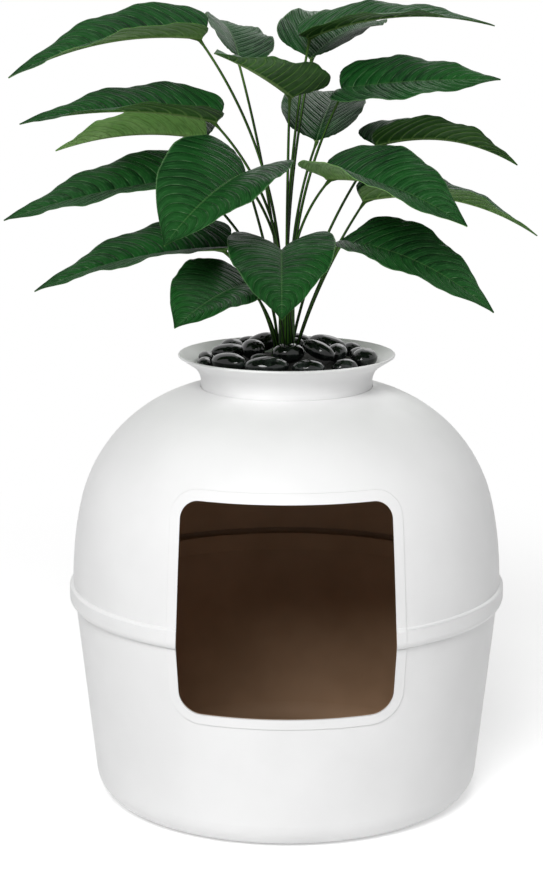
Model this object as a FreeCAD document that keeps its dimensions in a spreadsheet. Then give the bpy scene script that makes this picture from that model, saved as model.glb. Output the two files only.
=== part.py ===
import FreeCAD, Part
import math
import os
from collections import namedtuple

import Sketcher
from FreeCAD import Placement, Rotation, Vector

# A litter box shaped like a plant pot: a round pan, a domed cover with a doorway cut through both,
# and a lift-out tray on top that holds foam, polished pebbles and an artificial plant.
# Millimetres. The origin is on the floor under the middle of the pan, +Z is up and the doorway faces -Y.

SIZES = {
    # Pan
    "pan_floor_radius": 220,
    "pan_top_radius": 245,
    "pan_height": 228,
    "pan_wall": 3.5,
    "pan_floor": 4,
    "pan_corner": 32,
    "lip_height": 18,
    "lip_wall": 3,
    "lip_setback": 4.4,
    "lip_clearance": 0.5,
    # Domed cover
    "cover_wall": 3,
    "band_overhang": 6.8,
    "band_tuck": 0.8,
    "band_tuck_height": 9,
    "band_tuck_arc": 9.2,
    "band_height": 23,
    "ledge_depth": 4.5,
    "ledge_height": 1,
    "ledge_round": 2,
    "shoulder_inset": 9.8,
    "shoulder_rise": 93.6,
    "lower_arc": 408.5,
    "upper_arc": 174.5,
    "crown_rise": 133.5,
    "seat_margin": 0.5,
    "seat_depth": 2.1,
    # Doorway
    "door_bottom": 156,
    "door_rise": 234,
    "door_top_half_width": 114.5,
    "door_seam_half_width": 119.5,
    "door_bottom_half_width": 117,
    "door_top_corner": 21,
    "door_bottom_corner": 25,
    "door_frame_width": 11,
    "door_frame_height": 1.2,
    # Vent and odour filter at the back of the cover
    "vent_rise": 73,
    "vent_slot_width": 5,
    "vent_slot_length": 40,
    "vent_slot_pitch": 10,
    "filter_width": 100,
    "filter_tall": 60,
    "filter_thickness": 9,
    "filter_clearance": 0.4,
    "collar_wall": 3,
    "filter_wall_gap": 2.5,
    "grille_thickness": 3,
    "grille_rib_depth": 3,
    "grille_rib_wall": 2.5,
    # Plant tray
    "neck_radius": 98.2,
    "neck_height": 8,
    "flare_arc": 24,
    "flare_out": 10.9,
    "flare_rise": 20.1,
    "lip_out": 14.9,
    "lip_rise": 9.7,
    "tray_wall": 2.8,
    "tray_floor": 3,
    "bowl_inset": 7.2,
    "bowl_taper": 13,
    "bowl_depth": 46,
    "bowl_shoulder": 4,
    "mouth_clearance": 1,
    # Foam and main stem
    "foam_clearance": 1.2,
    "foam_rise": 70,
    "foam_crown": 12,
    "stem_hole_clearance": 0.4,
    "collar_radius": 17,
    "collar_rise": 7,
    "stem_core_radius": 9.6,
    "stem_core_rise": 78,
    "collar_socket_ring": 13.5,
    "core_socket_ring": 6.4,
    "socket_depth": 10,
    "socket_clearance": 0.1,
    # Leaves and their stalks
    "stalk_radius": 1.8,
    "stalk_stub": 2,
    "stalk_bend": 14,
    "knuckle_radius": 2.4,
    "knuckle_inset": 3,
    "leaf_thickness": 1.2,
    "leaf_clearance": 0.3,
    # Pebbles
    "pebble_clearance": 0.45,
    "stem_room": 0.6,
}

# Counts
VENT_SLOTS = 9
COLLAR_SOCKETS = 9
CORE_SOCKETS = 8

# Socket rings turn their first socket this far from +X, in degrees
COLLAR_SOCKET_START = 20
CORE_SOCKET_START = 0

# Direction of the tray's straight flare, as the cosine and sine of its slope
FLARE_RUN = 0.84
FLARE_LIFT = 0.55

# Radius of the tray's rounded rim as a share of its wall
RIM_ROUND = 0.6

# How near an edge's radius and level come to the wanted ones, and how near a stalk's volume comes to that of
# its section along its path
EDGE_TOLERANCE = 0.01
VOLUME_TOLERANCE = 0.02

# Each leaf has its notch and tip in millimetres from the top of the stem's collar, its width, the height of
# its arched midrib above the line from notch to tip, the upward fold of its halves, its roll and twist along
# that line in degrees, and the length of the lobes behind the notch. Its stalk stands in one socket of the
# stem, given by ring and turn, and leaves it at a lean from the vertical, in degrees.
Leaf = namedtuple("Leaf", "base tip width bulge fold roll twist lobe ring turn lean")
LEAVES = [
    Leaf((-95, 10, 350), (-315, 10, 304), 120, 18, 36, -10, -10, 10, "core", 180, 2),
    Leaf((-54, 40, 326), (-84, 220, 364), 92, 8, 34, 18, 0, 12, "collar", 100, 4),
    Leaf((5, -15, 286), (-75, -180, 340), 120, 4, 36, -5, 0, 15, "core", 270, 0),
    Leaf((27, 52, 326), (112, 215, 362), 126, 10, 36, 8, 0, 12, "core", 90, 2),
    Leaf((22, 15, 350), (235, 20, 362), 106, 18, 26, 6, 0, 10, "centre", 0, 0),
    Leaf((60, -10, 295), (235, -60, 307), 110, 4, 16, 24, 0, 6, "core", 0, 3),
    Leaf((34, 56, 232), (62, 235, 278), 114, 8, 38, 5, 0, 12, "core", 45, 5),
    Leaf((102, 45, 228), (270, 90, 200), 116, 18, 36, -5, 0, 14, "collar", 60, 12),
    Leaf((45, -30, 197), (195, -140, 154), 126, 16, 38, 4, 20, 20, "core", 315, 4),
    Leaf((86, 35, 166), (290, 40, 123), 116, 22, 34, 0, 0, 8, "collar", 20, 18),
    Leaf((60, -20, 126), (228, -110, 56), 120, 18, 24, 15, 0, -10, "collar", 340, 18),
    Leaf((-6, -60, 121), (-5, -225, 66), 130, 10, 28, 0, 0, 20, "collar", 300, 20),
    Leaf((-45, -45, 205), (-130, -190, 139), 152, 12, 34, -14, 0, 20, "collar", 260, 10),
    Leaf((-42, -50, 82), (-120, -184, 51), 126, 8, 26, -10, 0, 12, "collar", 220, 20),
    Leaf((-68, 0, 114), (-288, -15, 66), 120, 14, 28, -14, 0, 10, "collar", 180, 12),
    Leaf((-110, 20, 191), (-325, 20, 143), 120, 8, 26, -18, 0, 10, "collar", 140, 3),
    Leaf((-78, 0, 258), (-302, -5, 254), 116, 14, 34, -8, -6, 8, "core", 225, 4),
    Leaf((-92, 30, 237), (-268, 60, 219), 116, 12, 38, 12, 0, 6, "core", 135, 6),
]

# Shape of every leaf: where along its length it is widest, its share of the full width at the notch, how
# strongly its sides narrow to the tip, how far the fold eases towards the tip, how much its edges droop, and
# its edge waves
WIDEST_AT = 0.22
NOTCH_WIDTH = 0.60
SIDE_POWER = 2.2
TIP_POWER = 1.2
TIP_EASE = 0.06
FOLD_EASE = 0.55
EDGE_DROOP = 0.12
WAVE_HEIGHT = 2.5
WAVES = 3
WAVE_START = (2.9, 1.3)
LOBE_POWER = 4
TIP_END = 0.99
LEAF_ROWS = 14
LEAF_COLUMNS = 8

# Each pebble has its grade, its place beside the pot's axis, its three half-lengths, and its turn and tilt
# in degrees. They are laid in this order, and each one comes down on what lies below it. The places and
# lengths are those in a ring of these radii, and follow the room between the stalks and the neck.
PEBBLE_RING = (26, 95.4)
Pebble = namedtuple("Pebble", "grade x y long wide tall turn tilt")
PEBBLES = [
    Pebble("large", -22, -84, 26, 17, 11, 6, 0),
    Pebble("large", -64, -58, 24, 16, 11, -38, 0),
    Pebble("medium", 24, -87, 19, 15, 10, 4, 0),
    Pebble("medium", 65, -68, 17, 12, 10, 36, 0),
    Pebble("medium", 88, -24, 19, 15, 11, 68, -8),
    Pebble("small", -93, -20, 15, 9, 7, 82, 0),
    Pebble("small", -93, 20, 14, 9, 7, 98, 0),
    Pebble("medium", 84, 18, 16, 12, 8, 100, 0),
    Pebble("large", 47, 42, 24, 15, 11, -14, 10),
    Pebble("medium", 76, 58, 15, 11, 9, -52, 0),
    Pebble("large", -28, 47, 21, 14, 11, 20, -12),
    Pebble("medium", -64, 52, 16, 13, 10, 52, 0),
    Pebble("medium", -44, 86, 18, 12, 10, 26, 0),
    Pebble("large", 8, 84, 22, 14, 11, -4, 0),
    Pebble("medium", 52, 84, 15, 11, 9, -30, 0),
    Pebble("medium", -38, -20, 17, 13, 12, -58, 0),
    Pebble("large", 2, -44, 19, 14, 12, 8, 0),
    Pebble("medium", 57, -20, 17, 12, 11, 72, 0),
    Pebble("large", -66, 6, 21, 14, 9, 12, 0),
    Pebble("large", 36, -52, 21, 12, 10, -20, 22),
    Pebble("small", 10, 50, 12, 10, 8, -20, 0),
    Pebble("small", -30, -52, 12, 9, 8, -24, 0),
]

# Slope of the room kept for the leaning stalks and the height it grows over, the step in which a pebble
# comes down, and the number of directions in which it feels for others
STALK_SPREAD = 0.4
STALK_SPREAD_RISE = 20
SETTLE_STEP = 0.25
FEELER_COUNT = 360


class Size:
    """A length together with the spreadsheet formula that gives it."""

    def __init__(self, value, formula):
        self.value = value
        self.formula = formula

    def __add__(self, other):
        other = as_size(other)
        return Size(self.value + other.value, f"({self.formula} + {other.formula})")

    def __sub__(self, other):
        other = as_size(other)
        return Size(self.value - other.value, f"({self.formula} - {other.formula})")

    def __mul__(self, factor):
        factor = as_size(factor)
        return Size(self.value * factor.value, f"({self.formula} * {factor.formula})")

    def __truediv__(self, divisor):
        divisor = as_size(divisor)
        return Size(self.value / divisor.value, f"({self.formula} / {divisor.formula})")

    def __neg__(self):
        return self * -1


def as_size(number):
    return number if isinstance(number, Size) else Size(number, str(number))


def root(size):
    return Size(math.sqrt(size.value), f"sqrt({size.formula})")


ZERO = as_size(0)
DOC = FreeCAD.newDocument("planter_litter_box")


def make_sheet():
    """Writes the driving dimensions and gives each back as a Size."""
    sheet = DOC.addObject("Spreadsheet::Sheet", "sizes")
    for row, (alias, value) in enumerate(SIZES.items(), start=1):
        sheet.set(f"A{row}", alias)
        sheet.set(f"B{row}", str(value))
        sheet.setAlias(f"B{row}", alias)
    DOC.recompute()
    return {alias: Size(value, f"sizes.{alias}") for alias, value in SIZES.items()}


def kept_size(alias, size):
    """Gives a worked-out length a row of its own, under the driving dimensions."""
    row = len(SIZES) + 1
    DOC.sizes.set(f"A{row}", alias)
    DOC.sizes.set(f"B{row}", "=" + size.formula.replace("sizes.", ""))
    DOC.sizes.setAlias(f"B{row}", alias)
    DOC.recompute()
    return Size(size.value, f"sizes.{alias}")


D = make_sheet()

# Levels and radii that several pieces share
LIP_OUTER = D["pan_top_radius"] - D["lip_setback"]
LIP_TOP = D["pan_height"] + D["lip_height"]
BAND_RADIUS = D["pan_top_radius"] + D["band_overhang"]
BAND_TOP = D["pan_height"] + D["band_height"]
FOOT_RADIUS = BAND_RADIUS - D["ledge_depth"]
FOOT_LEVEL = BAND_TOP + D["ledge_height"]
SHOULDER_RADIUS = FOOT_RADIUS - D["shoulder_inset"]
SHOULDER_LEVEL = FOOT_LEVEL + D["shoulder_rise"]
VENT_LEVEL = FOOT_LEVEL + D["vent_rise"]
CROWN_RADIUS = D["neck_radius"] + D["seat_margin"]
CROWN_LEVEL = SHOULDER_LEVEL + D["crown_rise"]
SEAT_LEVEL = CROWN_LEVEL - D["seat_depth"]
BOWL_TOP_RADIUS = D["neck_radius"] - D["bowl_inset"]
BOWL_FLOOR_RADIUS = BOWL_TOP_RADIUS - D["bowl_taper"]
MOUTH_RADIUS = BOWL_TOP_RADIUS + D["mouth_clearance"]
BOWL_FLOOR_LEVEL = SEAT_LEVEL - D["bowl_depth"]
FOAM_BOTTOM = BOWL_FLOOR_LEVEL + D["tray_floor"]
FOAM_TOP = FOAM_BOTTOM + D["foam_rise"]
FOAM_CROWN = FOAM_TOP + D["foam_crown"]
COLLAR_TOP = FOAM_CROWN + D["collar_rise"]
CORE_TOP = COLLAR_TOP + D["stem_core_rise"]
BOWL_INNER_TOP = BOWL_TOP_RADIUS - D["tray_wall"]
BOWL_INNER_FLOOR = BOWL_FLOOR_RADIUS - D["tray_wall"]
NECK_INNER = D["neck_radius"] - D["tray_wall"]
FOAM_HOLE = D["collar_radius"] + D["stem_hole_clearance"]
FOAM_RADIUS = BOWL_INNER_TOP - D["foam_clearance"]
FLARE_FOOT = SEAT_LEVEL + D["neck_height"]
FLARE_TOP = FLARE_FOOT + D["flare_rise"]
FLARE_RADIUS = D["neck_radius"] + D["flare_out"]
RIM_RADIUS = FLARE_RADIUS + D["lip_out"]
RIM_LEVEL = FLARE_TOP + D["lip_rise"]
FLARE_INNER_RADIUS = FLARE_RADIUS - D["tray_wall"] * FLARE_LIFT
FLARE_INNER_TOP = FLARE_TOP + D["tray_wall"] * FLARE_RUN
RIM_INNER_RADIUS = RIM_RADIUS - D["tray_wall"] * FLARE_LIFT
RIM_INNER_LEVEL = RIM_LEVEL + D["tray_wall"] * FLARE_RUN


def arc_centre(start, end, radius):
    """Centre of the shorter arc between two points; a positive radius turns left, a negative one right."""
    middle = (start + end) * 0.5
    half = (end - start) * 0.5
    reach = math.sqrt(radius * radius - half.Length ** 2)
    left = Vector(-half.y, half.x, 0).normalize()
    return middle + left * (reach if radius > 0 else -reach)


def draw_outline(sketch, path):
    """Draws a closed outline of (x, y, bend) corners; a bend is the radius of the arc to the next corner."""
    corners = [Vector(x.value, y.value, 0) for x, y, _ in path]
    ends = []
    for index, (_, _, bend) in enumerate(path):
        start = corners[index]
        end = corners[(index + 1) % len(path)]
        if bend is None:
            geometry = sketch.addGeometry(Part.LineSegment(start, end), False)
            ends.append((geometry, 1, 2))
            continue
        centre = arc_centre(start, end, bend.value)
        first, last = (start, end) if bend.value > 0 else (end, start)
        circle = Part.Circle(centre, Vector(0, 0, 1), abs(bend.value))
        angles = [math.atan2(p.y - centre.y, p.x - centre.x) for p in (first, last)]
        geometry = sketch.addGeometry(Part.ArcOfCircle(circle, angles[0], angles[1]), False)
        ends.append((geometry, 1, 2) if bend.value > 0 else (geometry, 2, 1))
        radius = bend if bend.value > 0 else -bend
        bind(sketch, Sketcher.Constraint("Radius", geometry, radius.value), radius)
    for index, (x, y, _) in enumerate(path):
        geometry, start, _ = ends[index]
        before, _, before_end = ends[index - 1]
        sketch.addConstraint(Sketcher.Constraint("Coincident", before, before_end, geometry, start))
        place_point(sketch, geometry, start, x, y)


def place_point(sketch, geometry, point, x, y):
    """Ties a sketch point to its two coordinates."""
    for kind, size, axis in (("DistanceX", x, -2), ("DistanceY", y, -1)):
        if size is ZERO:
            sketch.addConstraint(Sketcher.Constraint("PointOnObject", geometry, point, axis))
        else:
            bind(sketch, Sketcher.Constraint(kind, geometry, point, size.value), size)


def bind(sketch, constraint, size):
    index = sketch.addConstraint(constraint)
    sketch.setExpression(f"Constraints[{index}]", size.formula)


def draw_circle(sketch, x, y, radius):
    circle = Part.Circle(Vector(x.value, y.value, 0), Vector(0, 0, 1), radius.value)
    geometry = sketch.addGeometry(circle, False)
    bind(sketch, Sketcher.Constraint("Radius", geometry, radius.value), radius)
    place_point(sketch, geometry, 3, x, y)


def upright_sketch(name, path):
    """A free sketch in the XZ plane, seen from -Y."""
    sketch = DOC.addObject("Sketcher::SketchObject", name)
    sketch.Placement = Placement(Vector(0, 0, 0), Rotation(Vector(1, 0, 0), 90))
    draw_outline(sketch, path)
    return sketch


def body_sketch(body, name, role, level=None):
    """An empty sketch on one of the body's origin planes, raised to a level."""
    sketch = body.newObject("Sketcher::SketchObject", name)
    plane = next(feature for feature in body.Origin.OriginFeatures if feature.Role == role)
    sketch.AttachmentSupport = [(plane, "")]
    sketch.MapMode = "FlatFace"
    if level is not None:
        sketch.setExpression("AttachmentOffset.Base.z", level.formula)
    return sketch


def turned(name, path):
    """A solid of revolution about the pot's axis."""
    revolution = DOC.addObject("Part::Revolution", name)
    revolution.Source = upright_sketch(f"{name}_outline", path)
    revolution.Axis = Vector(0, 0, 1)
    revolution.Angle = 360
    revolution.Solid = True
    return revolution


def turned_body(label, path):
    """A body revolved about the pot's axis."""
    body = DOC.addObject("PartDesign::Body", label)
    sketch = body_sketch(body, f"{label}_outline", "XZ_Plane")
    draw_outline(sketch, path)
    revolution = body.newObject("PartDesign::Revolution", f"{label}_turned")
    revolution.Profile = sketch
    revolution.ReferenceAxis = (sketch, ["V_Axis"])
    revolution.Angle = 360
    return body


def forward_prism(name, path, length):
    """A prism from the pot's axis towards the front."""
    prism = DOC.addObject("Part::Extrusion", name)
    prism.Base = upright_sketch(f"{name}_outline", path)
    prism.DirMode = "Custom"
    prism.Dir = Vector(0, -1, 0)
    prism.setExpression("LengthFwd", length.formula)
    prism.Solid = True
    return prism


def box(name, low, high):
    """A block between two opposite corners."""
    block = DOC.addObject("Part::Box", name)
    for side, axis, start, end in zip(("Length", "Width", "Height"), "xyz", low, high):
        block.setExpression(side, (end - start).formula)
        block.setExpression(f"Placement.Base.{axis}", start.formula)
    return block


def cut(name, base, tool):
    result = DOC.addObject("Part::Cut", name)
    result.Base = base
    result.Tool = tool
    return result


def common(name, base, tool):
    result = DOC.addObject("Part::Common", name)
    result.Base = base
    result.Tool = tool
    return result


def fuse(name, shapes):
    result = DOC.addObject("Part::MultiFuse", name)
    result.Shapes = shapes
    return result


def round_circles(name, base, rounds):
    """Rounds circular edges, each found by its radius and level."""
    DOC.recompute()
    chosen = []
    for radius, level, fillet in rounds:
        for number, edge in enumerate(base.Shape.Edges, start=1):
            curve = edge.Curve
            if not isinstance(curve, Part.Circle):
                continue
            off = max(abs(curve.Radius - radius.value), abs(curve.Center.z - level.value))
            if off < EDGE_TOLERANCE:
                chosen.append((number, fillet.value, fillet.value))
    rounded = DOC.addObject("Part::Fillet", name)
    rounded.Base = base
    rounded.Edges = chosen
    return rounded


def door_outline(grow):
    """The doorway seen from the front, grown outwards on every side."""
    bottom = D["door_bottom"] - grow
    top = D["door_bottom"] + D["door_rise"] + grow
    low_x = D["door_bottom_half_width"] + grow
    seam_x = D["door_seam_half_width"] + grow
    high_x = D["door_top_half_width"] + grow
    low_r = D["door_bottom_corner"] + grow
    high_r = D["door_top_corner"] + grow
    seam = D["pan_height"]
    return [
        (-(low_x - low_r), bottom, None),
        (low_x - low_r, bottom, low_r),
        (low_x, bottom + low_r, None),
        (seam_x, seam, None),
        (high_x, top - high_r, high_r),
        (high_x - high_r, top, None),
        (-(high_x - high_r), top, high_r),
        (-high_x, top - high_r, None),
        (-seam_x, seam, None),
        (-low_x, bottom + low_r, low_r),
    ]


def with_doorway(label, shell, skin):
    """Adds the raised frame, where a thicker skin meets the grown outline, and cuts the doorway."""
    reach = BAND_RADIUS + D["band_overhang"]
    frame_prism = forward_prism(f"{label}_frame_prism", door_outline(D["door_frame_width"]), reach)
    frame = common(f"{label}_frame", skin, frame_prism)
    framed = fuse(f"{label}_framed", [shell, frame])
    return cut(label, framed, forward_prism(f"{label}_doorway", door_outline(ZERO), reach))


def pan_wall_radius(level):
    """Outer radius of the pan's sloping wall at a level."""
    slope = (D["pan_top_radius"].value - D["pan_floor_radius"].value) / D["pan_height"].value
    return D["pan_floor_radius"] + level * slope


def make_base_pan():
    inner_top = D["pan_top_radius"] - D["pan_wall"]
    inner_floor = D["pan_floor_radius"] - D["pan_wall"]
    shelf_under = D["pan_height"] - D["lip_wall"]
    lip_inner = LIP_OUTER - D["lip_wall"]
    shell = turned("pan_shell", [
        (ZERO, ZERO, None),
        (D["pan_floor_radius"], ZERO, None),
        (D["pan_top_radius"], D["pan_height"], None),
        (LIP_OUTER, D["pan_height"], None),
        (LIP_OUTER, LIP_TOP, None),
        (lip_inner, LIP_TOP, None),
        (lip_inner, shelf_under, None),
        (inner_top, shelf_under, None),
        (inner_floor, D["pan_floor"], None),
        (ZERO, D["pan_floor"], None),
    ])
    rounded = round_circles("pan_rounded", shell, [
        (D["pan_floor_radius"], ZERO, D["pan_corner"]),
        (inner_floor, D["pan_floor"], D["pan_corner"] - D["pan_wall"]),
    ])
    skin_bottom = D["door_bottom"] - D["door_frame_width"] * 2
    skin_bottom_radius = pan_wall_radius(skin_bottom)
    skin = turned("pan_skin", [
        (skin_bottom_radius - D["pan_wall"] / 2, skin_bottom, None),
        (skin_bottom_radius + D["door_frame_height"], skin_bottom, None),
        (D["pan_top_radius"] + D["door_frame_height"], D["pan_height"], None),
        (D["pan_top_radius"] - D["pan_wall"] / 2, D["pan_height"], None),
    ])
    return with_doorway("base_pan", rounded, skin)


def cover_outer_path(swell):
    """Outer side of the cover from the seam up to the tray's seat, swollen outwards."""
    tuck = D["pan_top_radius"] - D["band_tuck"] + swell
    band = BAND_RADIUS + swell
    return [
        (tuck, D["pan_height"], D["band_tuck_arc"] + swell),
        (band, D["pan_height"] + D["band_tuck_height"], None),
        (band, BAND_TOP - D["ledge_round"], D["ledge_round"] + swell),
        (BAND_RADIUS - D["ledge_round"], BAND_TOP + swell, None),
        (FOOT_RADIUS + swell, FOOT_LEVEL + swell, D["lower_arc"] + swell),
        (SHOULDER_RADIUS + swell, SHOULDER_LEVEL, D["upper_arc"] + swell),
        (CROWN_RADIUS, CROWN_LEVEL + swell, None),
    ]


def filter_box(name, margin, front, back):
    """A block around the filter's place at the back of the cover."""
    half_width = D["filter_width"] / 2 + margin
    half_tall = D["filter_tall"] / 2 + margin
    low = (-half_width, front, VENT_LEVEL - half_tall)
    high = (half_width, back, VENT_LEVEL + half_tall)
    return box(name, low, high)


def upper_wall_radius(level):
    """Inner radius of the cover at a level, by the arc that leads from its shoulder to its crown."""
    half_in = (SHOULDER_RADIUS - CROWN_RADIUS) / 2
    half_up = D["crown_rise"] / 2
    half_chord = root(half_in * half_in + half_up * half_up)
    reach = root(D["upper_arc"] * D["upper_arc"] - half_chord * half_chord)
    centre_radius = CROWN_RADIUS + half_in - reach * half_up / half_chord
    centre_level = SHOULDER_LEVEL + half_up - reach * half_in / half_chord
    arc = D["upper_arc"] - D["cover_wall"]
    above = level - centre_level
    return centre_radius + root(arc * arc - above * above)


def filter_front():
    """Depth of the filter collar's front, which leaves the pad's upper corners clear of the cover's wall."""
    corner_radius = upper_wall_radius(VENT_LEVEL + D["filter_tall"] / 2)
    half_width = D["filter_width"] / 2
    corner_depth = root(corner_radius * corner_radius - half_width * half_width)
    pad_back = corner_depth - D["filter_wall_gap"]
    return pad_back - D["filter_thickness"] - D["grille_rib_depth"]


COLLAR_FRONT = kept_size("filter_collar_front", filter_front())


def vent_slots(name, front, back):
    """A row of upright slots through whatever lies between two depths."""
    half_length = D["vent_slot_length"] / 2
    half_width = D["vent_slot_width"] / 2
    slots = []
    for number in range(VENT_SLOTS):
        middle = D["vent_slot_pitch"] * (number - (VENT_SLOTS - 1) / 2)
        low = (middle - half_width, front, VENT_LEVEL - half_length)
        high = (middle + half_width, back, VENT_LEVEL + half_length)
        slots.append(box(f"{name}_{number + 1}", low, high))
    return fuse(name, slots)


def make_dome_cover():
    wall = D["cover_wall"]
    skirt_inner = LIP_OUTER + D["lip_clearance"]
    band_inner = BAND_RADIUS - wall
    skirt_foot = [(skirt_inner, D["pan_height"], None)]
    shell = turned("cover_shell", skirt_foot + cover_outer_path(ZERO) + [
        (CROWN_RADIUS, SEAT_LEVEL, None),
        (MOUTH_RADIUS, SEAT_LEVEL, None),
        (MOUTH_RADIUS, SEAT_LEVEL - wall, None),
        (CROWN_RADIUS, SEAT_LEVEL - wall, -(D["upper_arc"] - wall)),
        (SHOULDER_RADIUS - wall, SHOULDER_LEVEL, -(D["lower_arc"] - wall)),
        (FOOT_RADIUS - wall, FOOT_LEVEL, None),
        (band_inner, BAND_TOP - wall, None),
        (band_inner, D["pan_height"] + D["band_tuck_height"], -D["band_tuck_arc"]),
    ])
    mid_wall = -(wall / 2)
    mid_solid = turned("cover_mid_solid", [(ZERO, D["pan_height"], None)] + cover_outer_path(mid_wall) + [
        (ZERO, CROWN_LEVEL + mid_wall, None),
    ])
    room = D["filter_clearance"]
    outside = filter_box("filter_collar_outside", room + D["collar_wall"], COLLAR_FRONT, BAND_RADIUS)
    inside = filter_box("filter_collar_inside", room, COLLAR_FRONT, BAND_RADIUS)
    tube = cut("filter_collar_tube", outside, inside)
    collar = common("filter_collar", tube, mid_solid)
    collared = fuse("cover_collared", [shell, collar])
    vented = cut("cover_vented", collared, vent_slots("vent_slots", COLLAR_FRONT, BAND_RADIUS))
    skin = turned("cover_skin", skirt_foot + cover_outer_path(D["door_frame_height"]) + [
        (CROWN_RADIUS, SEAT_LEVEL - wall / 2, -(D["upper_arc"] - wall / 2)),
        (SHOULDER_RADIUS - wall / 2, SHOULDER_LEVEL, -(D["lower_arc"] - wall / 2)),
        (FOOT_RADIUS - wall / 2, FOOT_LEVEL, None),
        (BAND_RADIUS - wall / 2, BAND_TOP - wall / 2, None),
        (BAND_RADIUS - wall / 2, D["pan_height"] + D["band_tuck_height"], -D["band_tuck_arc"]),
    ])
    return with_doorway("dome_cover", vented, skin)


def make_filter_pad():
    """Charcoal pad that lies against the grille, inside the collar."""
    front = COLLAR_FRONT + D["grille_rib_depth"]
    body = DOC.addObject("PartDesign::Body", "filter_pad")
    sketch = body_sketch(body, "filter_pad_outline", "XZ_Plane", -front)
    half_width = D["filter_width"] / 2
    low = VENT_LEVEL - D["filter_tall"] / 2
    high = VENT_LEVEL + D["filter_tall"] / 2
    draw_outline(sketch, [
        (-half_width, low, None),
        (half_width, low, None),
        (half_width, high, None),
        (-half_width, high, None),
    ])
    pad = body.newObject("PartDesign::Pad", "filter_pad_pad")
    pad.Profile = sketch
    pad.setExpression("Length", D["filter_thickness"].formula)
    pad.Reversed = True
    return body


def make_filter_cover():
    """Slotted grille that closes the collar, with a rib that plugs into it."""
    plate_margin = D["filter_clearance"] + D["collar_wall"]
    plate_front = COLLAR_FRONT - D["grille_thickness"]
    rib_back = COLLAR_FRONT + D["grille_rib_depth"]
    plate = filter_box("grille_plate", plate_margin, plate_front, COLLAR_FRONT)
    rib = cut(
        "grille_rib",
        filter_box("grille_rib_outside", ZERO, COLLAR_FRONT, rib_back),
        filter_box("grille_rib_inside", -D["grille_rib_wall"], COLLAR_FRONT, rib_back),
    )
    body = fuse("grille_body", [plate, rib])
    return cut("filter_cover", body, vent_slots("grille_slots", plate_front, COLLAR_FRONT))


def make_planter_tray():
    """Bowl with a neck and a flared rim; a step under the neck rests on the cover."""
    shoulder = SEAT_LEVEL + D["bowl_shoulder"]
    return turned_body("planter_tray", [
        (ZERO, BOWL_FLOOR_LEVEL, None),
        (BOWL_FLOOR_RADIUS, BOWL_FLOOR_LEVEL, None),
        (BOWL_TOP_RADIUS, SEAT_LEVEL, None),
        (D["neck_radius"], SEAT_LEVEL, None),
        (D["neck_radius"], FLARE_FOOT, -D["flare_arc"]),
        (FLARE_RADIUS, FLARE_TOP, None),
        (RIM_RADIUS, RIM_LEVEL, D["tray_wall"] * RIM_ROUND),
        (RIM_INNER_RADIUS, RIM_INNER_LEVEL, None),
        (FLARE_INNER_RADIUS, FLARE_INNER_TOP, D["flare_arc"] + D["tray_wall"]),
        (NECK_INNER, FLARE_FOOT, None),
        (NECK_INNER, shoulder, None),
        (BOWL_INNER_TOP, SEAT_LEVEL, None),
        (BOWL_INNER_FLOOR, FOAM_BOTTOM, None),
        (ZERO, FOAM_BOTTOM, None),
    ])


def make_foam_block():
    """Foam plug that fills the bowl and grips the stem."""
    return turned_body("foam_block", [
        (FOAM_HOLE, FOAM_BOTTOM, None),
        (BOWL_INNER_FLOOR - D["foam_clearance"], FOAM_BOTTOM, None),
        (FOAM_RADIUS, SEAT_LEVEL, None),
        (FOAM_RADIUS, FOAM_TOP, None),
        (FOAM_HOLE, FOAM_CROWN, None),
    ])


def round_pad(body, name, level, radius, length):
    sketch = body_sketch(body, f"{name}_circle", "XY_Plane", level)
    draw_circle(sketch, ZERO, ZERO, radius)
    pad = body.newObject("PartDesign::Pad", name)
    pad.Profile = sketch
    pad.setExpression("Length", length.formula)


def socket_ring(body, name, level, ring, start, count):
    """A ring of equal sockets sunk from a level; a ring of no radius is one socket in the middle."""
    turn = math.radians(start)
    x = ring * math.cos(turn) if ring is not ZERO else ZERO
    y = ring * math.sin(turn) if ring is not ZERO and start else ZERO
    sketch = body_sketch(body, f"{name}_circle", "XY_Plane", level)
    draw_circle(sketch, x, y, D["stalk_radius"] + D["socket_clearance"])
    pocket = body.newObject("PartDesign::Pocket", name)
    pocket.Profile = sketch
    pocket.setExpression("Length", D["socket_depth"].formula)
    DOC.recompute()
    if count == 1:
        return
    pattern = body.newObject("PartDesign::PolarPattern", f"{name}_ring")
    pattern.Originals = [pocket]
    pattern.Axis = (sketch, ["N_Axis"])
    pattern.Angle = 360
    pattern.Occurrences = count
    body.Tip = pattern
    DOC.recompute()


def make_main_stem():
    """Stem stub that stands in the foam: a collar and a core, both with sockets for the leaf stalks."""
    body = DOC.addObject("PartDesign::Body", "main_stem")
    round_pad(body, "stem_collar", FOAM_BOTTOM, D["collar_radius"], COLLAR_TOP - FOAM_BOTTOM)
    round_pad(body, "stem_core", COLLAR_TOP, D["stem_core_radius"], D["stem_core_rise"])
    collar_ring = D["collar_socket_ring"]
    core_ring = D["core_socket_ring"]
    socket_ring(body, "collar_socket", COLLAR_TOP, collar_ring, COLLAR_SOCKET_START, COLLAR_SOCKETS)
    socket_ring(body, "core_socket", CORE_TOP, core_ring, CORE_SOCKET_START, CORE_SOCKETS)
    socket_ring(body, "centre_socket", CORE_TOP, ZERO, 0, 1)
    return body


def add_shape(label, shape):
    piece = DOC.addObject("Part::Feature", label)
    piece.Shape = shape
    piece.Placement = Placement()
    return piece


def from_collar(place):
    """A place given from the top of the stem's collar, in the pot's frame."""
    return Vector(*place) + Vector(0, 0, COLLAR_TOP.value)


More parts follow.
